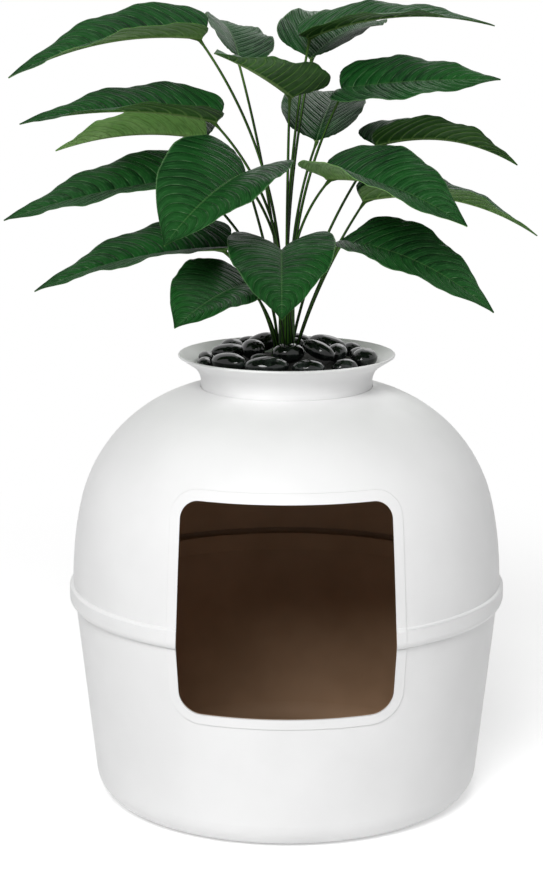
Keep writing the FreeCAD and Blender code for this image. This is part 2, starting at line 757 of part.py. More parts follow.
def leaf_axes(leaf, along):
    """Directions along the leaf, out of its upper side and to its left, a share of the way along it."""
    forward = (from_collar(leaf.tip) - from_collar(leaf.base)).normalize()
    up = Vector(0, 0, 1)
    level_up = (up - forward * up.dot(forward)).normalize()
    turn = math.radians(leaf.roll + leaf.twist * along)
    upper = level_up * math.cos(turn) + forward.cross(level_up) * math.sin(turn)
    return forward, upper, upper.cross(forward)


def leaf_half_width(along):
    """Half-width as a share of the leaf's greatest, from the notch to the tip."""
    if along < WIDEST_AT:
        return NOTCH_WIDTH + (1 - NOTCH_WIDTH) * math.sqrt(1 - (1 - along / WIDEST_AT) ** 2)
    rest = (along - WIDEST_AT) / (1 - WIDEST_AT)
    return (1 - rest ** SIDE_POWER) ** TIP_POWER * (1 - TIP_EASE * rest)


def leaf_point(leaf, along, across):
    """A point of the leaf's upper side; across runs from -1 at one edge to 1 at the other."""
    forward, upper, left = leaf_axes(leaf, along)
    base = from_collar(leaf.base)
    length = (from_collar(leaf.tip) - base).Length
    half = leaf.width / 2 * leaf_half_width(along)
    side = abs(across)
    reach = along * length - leaf.lobe * (1 - along) ** LOBE_POWER * side * (2 - side)
    share = reach / length
    fold = math.radians(leaf.fold * (1 - FOLD_EASE * along))
    height = 4 * leaf.bulge * share * (1 - share)
    height += half * (side * math.sin(fold) - EDGE_DROOP * side * side * math.cos(fold))
    wave = math.sin(2 * math.pi * WAVES * along + WAVE_START[across > 0])
    height += WAVE_HEIGHT * wave * side ** 3 * 4 * along * (1 - along)
    return base + forward * reach + upper * height + left * (half * across * math.cos(fold))


def make_leaf(number, leaf):
    """A thin blade: its curved upper side, thickened downwards."""
    rows = [TIP_END * (row / LEAF_ROWS) for row in range(LEAF_ROWS + 1)]
    columns = [2 * column / LEAF_COLUMNS - 1 for column in range(LEAF_COLUMNS + 1)]
    grid = [[leaf_point(leaf, along, across) for across in columns] for along in rows]
    surface = Part.BSplineSurface()
    surface.interpolate(grid)
    _, upper, _ = leaf_axes(leaf, 0)
    blade = surface.toShape().extrude(upper * -D["leaf_thickness"].value)
    return add_shape(f"leaf_{number:02d}", blade)


def stalk_foot(leaf):
    """Middle of the socket's mouth that a leaf's stalk stands in."""
    rings = {"collar": D["collar_socket_ring"], "core": D["core_socket_ring"], "centre": ZERO}
    ring = rings[leaf.ring].value
    level = COLLAR_TOP if leaf.ring == "collar" else CORE_TOP
    turn = math.radians(leaf.turn)
    return Vector(ring * math.cos(turn), ring * math.sin(turn), level.value)


def knuckle(leaf):
    """Middle of the knob that carries the leaf, just under the start of its midrib."""
    _, upper, _ = leaf_axes(leaf, 0)
    length = (from_collar(leaf.tip) - from_collar(leaf.base)).Length
    share = D["knuckle_inset"].value / length
    slope = 4 * leaf.bulge / length * (1 - 2 * share)
    below = (D["leaf_clearance"].value + D["knuckle_radius"].value) * math.hypot(1, slope)
    return leaf_point(leaf, share, 0) - upper * (D["leaf_thickness"].value + below)


def arc_edge(start, outward, lean, turn, radius):
    """An arc in an upright plane that starts at a lean from the vertical; gives its edge and its end."""

    def point(share):
        angle = lean + turn * share
        along = radius * (math.cos(lean) - math.cos(angle))
        rise = radius * (math.sin(angle) - math.sin(lean))
        return start + outward * along + Vector(0, 0, rise)

    return Part.Arc(start, point(0.5), point(1)).toShape(), point(1)


def stalk_path(leaf):
    """Edges from the socket's floor to the knuckle: a straight foot, a short bend and one long arc."""
    foot = stalk_foot(leaf)
    end = knuckle(leaf)
    bottom = foot - Vector(0, 0, D["socket_depth"].value)
    place = foot + Vector(0, 0, D["stalk_stub"].value)
    outward = Vector(end.x - foot.x, end.y - foot.y, 0).normalize()
    lean = math.radians(leaf.lean)
    edges = [Part.LineSegment(bottom, place).toShape()]
    if leaf.lean:
        edge, place = arc_edge(place, outward, 0, lean, D["stalk_bend"].value)
        edges.append(edge)
    chord = end - place
    chord_lean = math.atan2(chord.dot(outward), chord.z)
    half_turn = chord_lean - lean
    edge, _ = arc_edge(place, outward, lean, 2 * half_turn, chord.Length / (2 * math.sin(half_turn)))
    edges.append(edge)
    return edges


def make_stalk(number, leaf):
    """A round stalk with a knob at its upper end."""
    radius = D["stalk_radius"].value
    path = Part.Wire(stalk_path(leaf))
    start = path.Edges[0].Vertexes[0].Point
    section = Part.Wire(Part.makeCircle(radius, start, Vector(0, 0, 1)))
    rod = path.makePipeShell([section], True, False)
    expected = math.pi * radius ** 2 * path.Length
    if abs(rod.Volume - expected) > VOLUME_TOLERANCE * expected:
        raise ValueError(f"stalk {number} has volume {rod.Volume:.0f}, not {expected:.0f}")
    knob = Part.makeSphere(D["knuckle_radius"].value, knuckle(leaf))
    return add_shape(f"stalk_{number:02d}", rod.fuse(knob).removeSplitter())


def spread_directions(count):
    """Directions spread evenly over a sphere."""
    golden = math.pi * (3 - math.sqrt(5))
    directions = []
    for number in range(count):
        z = 1 - (2 * number + 1) / count
        radius = math.sqrt(1 - z * z)
        directions.append(Vector(radius * math.cos(golden * number), radius * math.sin(golden * number), z))
    return directions


FEELERS = spread_directions(FEELER_COUNT)


class Resting:
    """A pebble with its axes and its reach in every feeler direction."""

    def __init__(self, pebble):
        inner, outer = PEBBLE_RING
        room = stem_room_at(math.inf)
        scale = (NECK_INNER.value - room) / (outer - inner)
        reach = math.hypot(pebble.x, pebble.y)
        self.long = pebble.long * scale
        self.wide = pebble.wide * scale
        self.tall = pebble.tall * scale
        self.rotation = Rotation(Vector(0, 0, 1), pebble.turn) * Rotation(Vector(0, 1, 0), pebble.tilt)
        self.middle = Vector(pebble.x, pebble.y, 0) * ((room + (reach - inner) * scale) / reach)
        self.reaches = [self.reach(feeler) for feeler in FEELERS]
        self.skin = [self.surface_point(feeler) for feeler in FEELERS]

    def reach(self, direction):
        local = self.rotation.inverted().multVec(direction)
        sides = (local.x * self.long, local.y * self.wide, local.z * self.tall)
        return math.sqrt(sum(side * side for side in sides))

    def surface_point(self, direction):
        """Offset from the middle to the point of the surface that lies furthest in a direction."""
        local = self.rotation.inverted().multVec(direction)
        squares = (self.long ** 2, self.wide ** 2, self.tall ** 2)
        point = Vector(local.x * squares[0], local.y * squares[1], local.z * squares[2])
        return self.rotation.multVec(point / self.reach(direction))

    def gap_to(self, other):
        """Clear distance to another pebble, never overstated."""
        apart = other.middle - self.middle
        return max(
            feeler.dot(apart) - mine - theirs
            for feeler, mine, theirs in zip(FEELERS, self.reaches, other.reaches)
        )


def bowl_radius_at(level):
    """Inner radius of the tray at a level of its neck or flare."""
    if level <= FLARE_FOOT.value:
        return NECK_INNER.value
    arc = D["flare_arc"].value + D["tray_wall"].value
    if level <= FLARE_INNER_TOP.value:
        rise = level - FLARE_FOOT.value
        return NECK_INNER.value + arc - math.sqrt(arc * arc - rise * rise)
    if level <= RIM_INNER_LEVEL.value:
        share = (level - FLARE_INNER_TOP.value) / (RIM_INNER_LEVEL.value - FLARE_INNER_TOP.value)
        return FLARE_INNER_RADIUS.value + share * (RIM_INNER_RADIUS.value - FLARE_INNER_RADIUS.value)
    return math.inf


def foam_level_at(radius):
    """Level of the foam's cone-shaped top, with the bowl's shoulder around it."""
    if radius > FOAM_RADIUS.value + D["pebble_clearance"].value:
        return SEAT_LEVEL.value + D["bowl_shoulder"].value
    share = (FOAM_RADIUS.value - radius) / (FOAM_RADIUS.value - FOAM_HOLE.value)
    return FOAM_TOP.value + D["foam_crown"].value * max(share, 0)


def stem_room_at(level):
    """Radius kept free around the stem, wider above its collar where the stalks lean out."""
    rise = min(max(level - COLLAR_TOP.value, 0), STALK_SPREAD_RISE)
    return FOAM_HOLE.value + D["stem_room"].value + STALK_SPREAD * rise


def clear_of_tray(pebble):
    """Whether a pebble keeps off the foam, the bowl and the stem with its stalks."""
    clearance = D["pebble_clearance"].value
    for offset in pebble.skin:
        point = pebble.middle + offset
        radius = math.hypot(point.x, point.y)
        if point.z < foam_level_at(radius) + clearance or radius < stem_room_at(point.z):
            return False
        if radius > bowl_radius_at(point.z) - clearance:
            return False
    return True


def settle(pebble, others):
    """Lowers a pebble until it would touch the foam, the bowl or a pebble that lies already."""
    near = []
    for other in others:
        apart = math.hypot(other.middle.x - pebble.middle.x, other.middle.y - pebble.middle.y)
        if apart < other.long + pebble.long + 1:
            near.append(other)
    highest = RIM_LEVEL.value + 3 * pebble.long
    steps = int((highest - FOAM_TOP.value) / SETTLE_STEP)
    resting = None
    for step in range(steps):
        pebble.middle.z = highest - step * SETTLE_STEP
        free = clear_of_tray(pebble)
        free = free and all(pebble.gap_to(other) >= D["pebble_clearance"].value for other in near)
        if not free:
            break
        resting = pebble.middle.z
    if resting is None:
        raise ValueError(f"pebble at {pebble.middle.x}, {pebble.middle.y} has no room")
    pebble.middle.z = resting


def make_pebbles():
    """Ellipsoids settled on the foam and on one another, one group for each grade."""
    settled = []
    grades = {}
    for number, pebble in enumerate(PEBBLES, start=1):
        resting = Resting(pebble)
        settle(resting, settled)
        settled.append(resting)
        stone = DOC.addObject("Part::Ellipsoid", f"pebble_{number}")
        stone.Radius1 = resting.tall
        stone.Radius2 = resting.long
        stone.Radius3 = resting.wide
        stone.Placement = Placement(resting.middle, resting.rotation)
        grades.setdefault(pebble.grade, []).append(stone)
    groups = []
    for grade, stones in grades.items():
        group = DOC.addObject("Part::Compound", f"pebbles_{grade}")
        group.Links = stones
        groups.append(group)
    return groups


def make_all():
    pieces = [
        make_base_pan(),
        make_dome_cover(),
        make_filter_pad(),
        make_filter_cover(),
        make_planter_tray(),
        make_foam_block(),
        make_main_stem(),
    ]
    for number, leaf in enumerate(LEAVES, start=1):
        pieces.append(make_stalk(number, leaf))
        pieces.append(make_leaf(number, leaf))
    return pieces + make_pebbles()


def write_pieces(pieces):
    """Checks the document and every piece, then writes one file for each piece."""
    DOC.recompute()
    for item in DOC.Objects:
        if "Invalid" in item.State or "Error" in item.State:
            raise RuntimeError(f"{item.Label} failed")
    for piece in pieces:
        if piece.Shape.isNull() or not piece.Shape.isValid() or piece.Shape.Volume <= 0:
            raise RuntimeError(f"{piece.Label} has no valid shape")
    os.makedirs("parts", exist_ok=True)
    for piece in pieces:
        piece.Shape.exportStep(os.path.join("parts", f"{piece.Label}.step"))
        print(f"{piece.Label}: {len(piece.Shape.Solids)} solids, {piece.Shape.Volume / 1000:.2f} cm3")


write_pieces(make_all())
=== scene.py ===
import math
from collections import namedtuple

import bmesh
import bpy
import numpy as np
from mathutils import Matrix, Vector, noise


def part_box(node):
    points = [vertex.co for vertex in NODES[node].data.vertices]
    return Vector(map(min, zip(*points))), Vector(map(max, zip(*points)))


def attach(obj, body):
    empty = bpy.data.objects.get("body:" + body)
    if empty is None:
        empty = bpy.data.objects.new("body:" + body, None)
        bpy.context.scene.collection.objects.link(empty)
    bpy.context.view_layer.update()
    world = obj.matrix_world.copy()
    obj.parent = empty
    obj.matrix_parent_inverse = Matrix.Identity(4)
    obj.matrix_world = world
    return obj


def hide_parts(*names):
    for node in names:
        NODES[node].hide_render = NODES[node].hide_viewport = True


# Looks of a litter box shaped like a plant pot: white moulded plastic, polished black pebbles and an
# artificial plant. Metres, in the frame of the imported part: the doorway faces -Y and +Z is up.

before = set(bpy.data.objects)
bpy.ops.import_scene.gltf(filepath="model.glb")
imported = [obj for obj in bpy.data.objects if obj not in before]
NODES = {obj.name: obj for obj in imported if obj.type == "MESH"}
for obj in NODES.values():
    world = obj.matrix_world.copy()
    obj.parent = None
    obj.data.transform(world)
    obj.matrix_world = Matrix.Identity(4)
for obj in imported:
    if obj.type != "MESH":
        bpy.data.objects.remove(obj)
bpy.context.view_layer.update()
MM = 0.001
UP = np.array((0.0, 0.0, 1.0))

# Sizes of the part that its looks follow, in millimetres
STEM_CORE_RISE = 78
SOCKET_DEPTH = 10
STALK_STUB = 2
STALK_BEND = 14
COLLAR_RING = 13.5
CORE_RING = 6.4
KNUCKLE_INSET = 3
KNUCKLE_ROOM = 2.7
CAD_LEAF_THICKNESS = 1.2
CORE_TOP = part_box("main_stem")[1].z / MM
COLLAR_TOP = CORE_TOP - STEM_CORE_RISE

# Each leaf has its notch and tip in millimetres from the top of the stem's collar, its width, the height of
# its arched midrib, the fold of its halves, its roll and twist in degrees, and the length of its lobes. Its
# stalk stands in one socket of the stem and leaves it at a lean from the vertical.
Leaf = namedtuple("Leaf", "base tip width bulge fold roll twist lobe ring turn lean")
LEAVES = [
    Leaf((-95, 10, 350), (-315, 10, 304), 120, 18, 36, -10, -10, 10, "core", 180, 2),
    Leaf((-54, 40, 326), (-84, 220, 364), 92, 8, 34, 18, 0, 12, "collar", 100, 4),
    Leaf((5, -15, 286), (-75, -180, 340), 120, 4, 36, -5, 0, 15, "core", 270, 0),
    Leaf((27, 52, 326), (112, 215, 362), 126, 10, 36, 8, 0, 12, "core", 90, 2),
    Leaf((22, 15, 350), (235, 20, 362), 106, 18, 26, 6, 0, 10, "centre", 0, 0),
    Leaf((60, -10, 295), (235, -60, 307), 110, 4, 16, 24, 0, 6, "core", 0, 3),
    Leaf((34, 56, 232), (62, 235, 278), 114, 8, 38, 5, 0, 12, "core", 45, 5),
    Leaf((102, 45, 228), (270, 90, 200), 116, 18, 36, -5, 0, 14, "collar", 60, 12),
    Leaf((45, -30, 197), (195, -140, 154), 126, 16, 38, 4, 20, 20, "core", 315, 4),
    Leaf((86, 35, 166), (290, 40, 123), 116, 22, 34, 0, 0, 8, "collar", 20, 18),
    Leaf((60, -20, 126), (228, -110, 56), 120, 18, 24, 15, 0, -10, "collar", 340, 18),
    Leaf((-6, -60, 121), (-5, -225, 66), 130, 10, 28, 0, 0, 20, "collar", 300, 20),
    Leaf((-45, -45, 205), (-130, -190, 139), 152, 12, 34, -14, 0, 20, "collar", 260, 10),
    Leaf((-42, -50, 82), (-120, -184, 51), 126, 8, 26, -10, 0, 12, "collar", 220, 20),
    Leaf((-68, 0, 114), (-288, -15, 66), 120, 14, 28, -14, 0, 10, "collar", 180, 12),
    Leaf((-110, 20, 191), (-325, 20, 143), 120, 8, 26, -18, 0, 10, "collar", 140, 3),
    Leaf((-78, 0, 258), (-302, -5, 254), 116, 14, 34, -8, -6, 8, "core", 225, 4),
    Leaf((-92, 30, 237), (-268, 60, 219), 116, 12, 38, 12, 0, 6, "core", 135, 6),
]

# Shape of every leaf, as in the solid part
WIDEST_AT = 0.22
NOTCH_WIDTH = 0.60
SIDE_POWER = 2.2
TIP_POWER = 1.2
TIP_EASE = 0.06
FOLD_EASE = 0.55
EDGE_DROOP = 0.12
WAVE_HEIGHT = 2.5
WAVES = 3
WAVE_START = (2.9, 1.3)
LOBE_POWER = 4
TIP_END = 0.99

# Finer shape of a leaf: its grid, its pairs of side veins and their sweep towards the tip, the pillows
# between them, the midrib, the ripples of its edge and its thickness, in millimetres
LEAF_ROWS = 141
LEAF_COLUMNS = 53
COLUMN_POWER = 1.2
VEIN_PAIRS = 13
VEIN_LEAN = 0.06
VEIN_CURVE = 0.16
PILLOW_HEIGHT = 1.2
PILLOW_POWER = 0.6
PILLOW_LEVEL = 0.6
PILLOW_MARGIN = 5
PILLOW_EDGE_POWER = 8
PILLOW_TIP_FADE = 5
RIB_WIDTH = 2.0
RIB_GROOVE = 0.9
RIB_DEPTH = 1.5
RIB_TAPER = 0.8
RIPPLE_HEIGHT = 0.4
RIPPLES = 8
FINE_RIPPLES = 13
FINE_RIPPLE_SHARE = 0.6
RIPPLE_EDGE_POWER = 6
RIPPLE_TIP_FADE = 4
RIPPLE_LEAF_SHIFT = 1.7
RIPPLE_SIDE_SHIFT = 2.1
MID_THICKNESS = 0.9
EDGE_THICKNESS = 0.45

# How fresh and bright a green the underside of a leaf has
FRESH_LEAVES = {1: 0.4, 3: 0.1, 9: 0.7, 10: 0.3, 18: 1.0}
FRESH_ELSEWHERE = 0.1

# Places of a colour mix's two colours and of its result among its sockets, and the rays that round an edge
MIX_FIRST = 6
MIX_SECOND = 7
MIX_RESULT = 2
EDGE_SAMPLES = 4


class Graph:
    """A material with short ways to add and join its nodes."""

    def __init__(self, name):
        self.material = bpy.data.materials.new(name)
        self.material.use_nodes = True
        self.tree = self.material.node_tree
        self.tree.nodes.clear()
        self.output = self.add("ShaderNodeOutputMaterial")
        self.surface = self.add("ShaderNodeBsdfPrincipled")
        self.put(self.surface.outputs["BSDF"], self.output.inputs["Surface"])

    def add(self, kind):
        return self.tree.nodes.new(kind)

    def put(self, value, socket):
        if isinstance(value, bpy.types.NodeSocket):
            self.tree.links.new(value, socket)
        else:
            socket.default_value = value

    def set(self, **values):
        """Gives the surface its inputs; underscores in their names stand for spaces."""
        for name, value in values.items():
            self.put(value, self.surface.inputs[name.replace("_", " ")])

    def math(self, operation, first, second=0.0):
        node = self.add("ShaderNodeMath")
        node.operation = operation
        self.put(first, node.inputs[0])
        self.put(second, node.inputs[1])
        return node.outputs[0]

    def times(self, first, second):
        return self.math("MULTIPLY", first, second)

    def distance(self, x, y):
        """Distance of a point from the vertical axis."""
        return self.math("SQRT", self.math("ADD", self.times(x, x), self.times(y, y)))

    def mix(self, share, first, second):
        node = self.add("ShaderNodeMix")
        node.data_type = "RGBA"
        self.put(share, node.inputs[0])
        self.put(first, node.inputs[MIX_FIRST])
        self.put(second, node.inputs[MIX_SECOND])
        return node.outputs[MIX_RESULT]

    def span(self, value, low, high, start, end, steps="LINEAR"):
        """Goes from start to end as the value goes from low to high."""
        node = self.add("ShaderNodeMapRange")
        node.interpolation_type = steps
        entries = (value, low, high, start, end)
        for name, entry in zip(("Value", "From Min", "From Max", "To Min", "To Max"), entries):
            self.put(entry, node.inputs[name])
        return node.outputs["Result"]

    def ramp(self, value, low, high, start=0.0, end=1.0):
        """A smooth step from start to end as the value goes from low to high."""
        return self.span(value, low, high, start, end, "SMOOTHSTEP")

    def choose(self, yes, other, chosen):
        """The chosen value where yes is 1, and the other one where it is 0."""
        return self.span(yes, 0.0, 1.0, other, chosen)

    def noise(self, place, scale, detail=3.0):
        node = self.add("ShaderNodeTexNoise")
        self.put(place, node.inputs["Vector"])
        self.put(scale, node.inputs["Scale"])
        self.put(detail, node.inputs["Detail"])
        return node.outputs["Fac"]

    def place(self):
        return self.add("ShaderNodeTexCoord").outputs["Object"]

    def split(self, vector):
        node = self.add("ShaderNodeSeparateXYZ")
        self.put(vector, node.inputs[0])
        return node.outputs

    def join(self, x, y, z):
        node = self.add("ShaderNodeCombineXYZ")
        for value, socket in zip((x, y, z), node.inputs):
            self.put(value, socket)
        return node.outputs[0]

    def layer(self, name):
        node = self.add("ShaderNodeUVMap")
        node.uv_map = name
        return self.split(node.outputs["UV"])

    def soft_edges(self, radius):
        node = self.add("ShaderNodeBevel")
        node.samples = EDGE_SAMPLES
        self.put(radius, node.inputs["Radius"])
        return node.outputs["Normal"]

    def bump(self, height, strength, distance, normal=None):
        node = self.add("ShaderNodeBump")
        self.put(height, node.inputs["Height"])
        self.put(strength, node.inputs["Strength"])
        self.put(distance, node.inputs["Distance"])
        if normal is not None:
            self.put(normal, node.inputs["Normal"])
        return node.outputs["Normal"]


def colour(red, green, blue):
    """A shader colour from the 0 to 255 values of the eye's scale."""
    values = [channel / 255 for channel in (red, green, blue)]
    return [v / 12.92 if v <= 0.04045 else ((v + 0.055) / 1.055) ** 2.4 for v in values] + [1.0]


# Colours of the pot, of what it holds, and of the plant
POT_WHITE = colour(240, 240, 240)
POT_WHITE_DULL = colour(235, 235, 235)
# Painted shade: browns that stand in for the shade inside the white shells
INSIDE_SHADE_BROWN = colour(176, 146, 118)
INSIDE_SHADE_DARK = colour(162, 133, 106)
GRILLE_GREY = colour(206, 206, 202)
GRILLE_GREY_DULL = colour(190, 190, 186)
FELT_BLACK = colour(24, 24, 25)
FELT_GREY = colour(66, 66, 68)
# Painted shade: the darker colour deep in the foam's pores
FOAM_PORE_SHADE = colour(12, 12, 11)
FOAM_WALL = colour(38, 36, 33)
STONE_BLACK = colour(12, 15, 14)
STONE_GREY = colour(46, 53, 50)
STONE_SPECK = colour(84, 88, 86)
STEM_DARK = colour(26, 58, 24)
STEM_STRIP = colour(98, 156, 58)
STEM_FIBRE = colour(24, 30, 14)
STALK_DARK = colour(16, 28, 11)
STALK_STRIP = colour(64, 108, 32)
STALK_TOP = colour(80, 116, 48)
STALK_FIBRE = colour(20, 26, 14)
LEAF_DARK = colour(5, 36, 13)
LEAF_GREEN = colour(16, 65, 22)
LEAF_TIP = colour(30, 88, 32)
# Painted light: the lit side of each pillow between the side veins
LEAF_PILLOW_LIGHT = colour(40, 98, 44)
# Painted sheen: lighter streaks along the side veins
LEAF_SHEEN_STREAK = colour(54, 108, 56)
# Pale veins: partly their own colour, partly painted highlight
LEAF_VEIN_AND_HIGHLIGHT = colour(126, 170, 120)
LEAF_RIB = colour(92, 132, 76)
# Painted highlight along the leaf's edge
LEAF_EDGE_HIGHLIGHT = colour(110, 150, 100)
UNDER_DARK = colour(14, 58, 12)
UNDER_GREEN = colour(34, 88, 24)
UNDER_FRESH = colour(136, 188, 102)
UNDER_PALE = colour(176, 218, 138)
UNDER_STREAK = colour(20, 62, 20)
UNDER_VEIN = colour(122, 164, 84)
UNDER_RIB = colour(132, 162, 96)

# Lines half way through the walls of the pan and the cover, which part the white outside from the inside
# that is
# painted brown as painted shade: radius at the floor and its growth with height, the cover's two arcs, and
# its band, given as level and radius from the seam to the foot of the dome
PAN_FLOOR_HALF = 0.002
PAN_MID_RADIUS = 0.21825
PAN_MID_GROWTH = 0.10965
PAN_SEAM = 0.2283
PAN_CORNER_TOP = 0.032
PAN_CORNER_RADIUS = 0.0302
PAN_CORNER_CENTRE = 0.1912
COVER_LOWER_ARC = (-0.16117, 0.25655, 0.407)
COVER_UPPER_ARC = (0.06721, 0.30746, 0.173)
COVER_SHOULDER = 0.3456
COVER_TUCK = ((0.228, 0.2426), (0.237, 0.2503))
COVER_LEDGE = ((0.2485, 0.2503), (0.2508, 0.2458))


def arc_radius(graph, level, arc):
    """Radius at a level of an arc given by its centre's radius and level and its own radius."""
    centre, middle, radius = arc
    off = graph.math("SUBTRACT", level, middle)
    square = graph.math("SUBTRACT", radius * radius, graph.times(off, off))
    return graph.math("ADD", graph.math("SQRT", graph.math("MAXIMUM", square, 0.0)), centre)


def slope_radius(graph, level, slope):
    """Radius at a level of a straight run between two points."""
    (low, low_radius), (high, high_radius) = slope
    return graph.span(level, low, high, low_radius, high_radius)


def pan_inside(graph, radius, level):
    """1 on the inner side of the pan, 0 on its outer side."""
    wall = graph.math("ADD", graph.times(level, PAN_MID_GROWTH), PAN_MID_RADIUS)
    corner = arc_radius(graph, level, (PAN_CORNER_CENTRE, PAN_CORNER_TOP, PAN_CORNER_RADIUS))
    in_corner = graph.math("LESS_THAN", level, PAN_CORNER_TOP)
    within = graph.math("LESS_THAN", radius, graph.choose(in_corner, wall, corner))
    above_floor = graph.math("GREATER_THAN", level, PAN_FLOOR_HALF)
    on_lip = graph.math("GREATER_THAN", level, PAN_SEAM)
    return graph.math("MAXIMUM", graph.times(within, above_floor), on_lip)


def cover_inside(graph, radius, level):
    """1 on the inner side of the cover, 0 on its outer side."""
    lower = arc_radius(graph, level, COVER_LOWER_ARC)
    upper = arc_radius(graph, level, COVER_UPPER_ARC)
    dome = graph.choose(graph.math("GREATER_THAN", level, COVER_SHOULDER), lower, upper)
    tuck = slope_radius(graph, level, COVER_TUCK)
    band = graph.math("MINIMUM", tuck, slope_radius(graph, level, COVER_LEDGE))
    above_foot = graph.math("GREATER_THAN", level, COVER_LEDGE[1][0])
    return graph.math("LESS_THAN", radius, graph.choose(above_foot, band, dome))


def pot_plastic(name, inside=None):
    """White satin moulded plastic; where a shell has an inside, it is painted brown as painted shade."""
    graph = Graph(name)
    place = graph.place()
    cloud = graph.noise(place, scale=9.0)
    grain = graph.noise(place, scale=1400.0, detail=2.0)
    scuff = graph.noise(place, scale=60.0, detail=5.0)
    base = graph.mix(graph.ramp(cloud, low=0.3, high=0.75), POT_WHITE, POT_WHITE_DULL)
    rough = graph.ramp(scuff, low=0.3, high=0.75, start=0.40, end=0.52)
    if inside is not None:
        x, y, z = graph.split(place)
        mask = inside(graph, graph.distance(x, y), z)
        # Painted shade: the inside of the shell gets brown in place of its white
        inside_shade = graph.mix(graph.ramp(cloud, low=0.35, high=0.7), INSIDE_SHADE_BROWN, INSIDE_SHADE_DARK)
        base = graph.mix(mask, base, inside_shade)
        duller = graph.times(mask, 0.15)
        rough = graph.math("ADD", rough, duller)
    normal = graph.bump(grain, strength=0.05, distance=0.0004, normal=graph.soft_edges(radius=0.0007))
    graph.set(Base_Color=base, Roughness=rough, Specular_IOR_Level=0.2, Normal=normal)
    return graph.material


def grille_plastic():
    """Pale grey plastic of the filter's grille."""
    graph = Graph("grille_plastic")
    place = graph.place()
    cloud = graph.noise(place, scale=30.0)
    grain = graph.noise(place, scale=1500.0)
    base = graph.mix(cloud, GRILLE_GREY, GRILLE_GREY_DULL)
    rough = graph.ramp(cloud, low=0.3, high=0.7, start=0.4, end=0.52)
    normal = graph.bump(grain, strength=0.1, distance=0.0004, normal=graph.soft_edges(radius=0.0005))
    graph.set(Base_Color=base, Roughness=rough, Normal=normal)
    return graph.material


def charcoal_felt():
    """Matted black fibres of the odour filter."""
    graph = Graph("charcoal_felt")
    place = graph.place()
    fibre = graph.noise(place, scale=900.0, detail=6.0)
    tuft = graph.noise(place, scale=160.0, detail=4.0)
    base = graph.mix(graph.ramp(fibre, low=0.35, high=0.7), FELT_BLACK, FELT_GREY)
    normal = graph.bump(graph.math("ADD", fibre, tuft), strength=0.8, distance=0.0012)
    graph.set(Base_Color=base, Roughness=0.95, Sheen_Weight=0.3, Normal=normal)
    return graph.material


PORE_SCALE = 420.0


def dark_foam():
    """Open pores of the block that holds the stem, with painted shade deep in each pore."""
    graph = Graph("dark_foam")
    pores = graph.add("ShaderNodeTexVoronoi")
    graph.put(graph.place(), pores.inputs["Vector"])
    graph.put(PORE_SCALE, pores.inputs["Scale"])
    depth = graph.ramp(pores.outputs["Distance"], low=0.1, high=0.6)
    # Painted shade deepens towards the middle of each pore
    base = graph.mix(depth, FOAM_PORE_SHADE, FOAM_WALL)
    graph.set(Base_Color=base, Roughness=0.95, Normal=graph.bump(depth, strength=0.9, distance=0.001))
    return graph.material


def black_pebble():
    """Polished black river stone with faint veins and a few dull spots."""
    graph = Graph("black_pebble")
    place = graph.place()
    cloud = graph.noise(place, scale=70.0, detail=5.0)
    speck = graph.noise(place, scale=900.0, detail=3.0)
    base = graph.mix(graph.ramp(cloud, low=0.4, high=0.75), STONE_BLACK, STONE_GREY)
    base = graph.mix(graph.ramp(speck, low=0.66, high=0.78), base, STONE_SPECK)
    rough = graph.ramp(cloud, low=0.3, high=0.75, start=0.05, end=0.17)
    height = graph.math("ADD", cloud, graph.times(speck, 0.2))
    normal = graph.bump(height, strength=0.12, distance=0.0012)
    graph.set(Base_Color=base, Roughness=rough, IOR=1.45, Normal=normal)
    return graph.material


def stretched_noise(graph, first, second, layer, scale):
    """Streaks on a surface from two of its own coordinates, given with the crowding of each."""
    (across, crowding), (along, stretch) = first, second
    place = graph.join(graph.times(across, crowding), graph.times(along, stretch), layer)
    return graph.noise(place, scale, detail=4.0)


def stem_green():
    """Dark fluted stem with bright green strips between its sheaths."""
    graph = Graph("stem_green")
    x, y, z = graph.split(graph.place())
    angle = graph.math("ARCTAN2", y, x)
    streak = stretched_noise(graph, (angle, 3.0), (z, 6.0), layer=0.0, scale=1.6)
    fibre = stretched_noise(graph, (angle, 30.0), (z, 30.0), layer=1.0, scale=1.0)
    base = graph.mix(graph.ramp(streak, low=0.44, high=0.58), STEM_DARK, STEM_STRIP)
    base = graph.mix(graph.ramp(fibre, low=0.55, high=0.8, end=0.5), base, STEM_FIBRE)
    rough = graph.ramp(fibre, low=0.3, high=0.7, start=0.4, end=0.6)
    normal = graph.bump(fibre, strength=0.4, distance=0.001)
    graph.set(Base_Color=base, Roughness=rough, Specular_IOR_Level=0.12, Normal=normal)
    return graph.material


def stalk_green():
    """Dark stalk with a brighter strip along one side."""
    graph = Graph("stalk_green")
    along, around, _ = graph.layer("stalk")
    wander = graph.times(graph.math("SUBTRACT", graph.noise(graph.place(), scale=25.0), 0.5), 0.3)
    off = graph.math("ABSOLUTE", graph.math("SUBTRACT", graph.math("ADD", around, wander), 0.5))
    strip = graph.ramp(off, low=0.06, high=0.2, start=1.0, end=0.0)
    top = graph.ramp(along, low=0.82, high=1.0, end=0.7)
    fibre = stretched_noise(graph, (around, 12.0), (along, 8.0), layer=0.0, scale=3.0)
    base = graph.mix(strip, STALK_DARK, STALK_STRIP)
    base = graph.mix(top, base, STALK_TOP)
    base = graph.mix(graph.ramp(fibre, low=0.5, high=0.85), base, STALK_FIBRE)
    rough = graph.ramp(fibre, low=0.3, high=0.7, start=0.35, end=0.55)
    normal = graph.bump(fibre, strength=0.3, distance=0.0006)
    graph.set(Base_Color=base, Roughness=rough, Specular_IOR_Level=0.12, Normal=normal)
    return graph.material


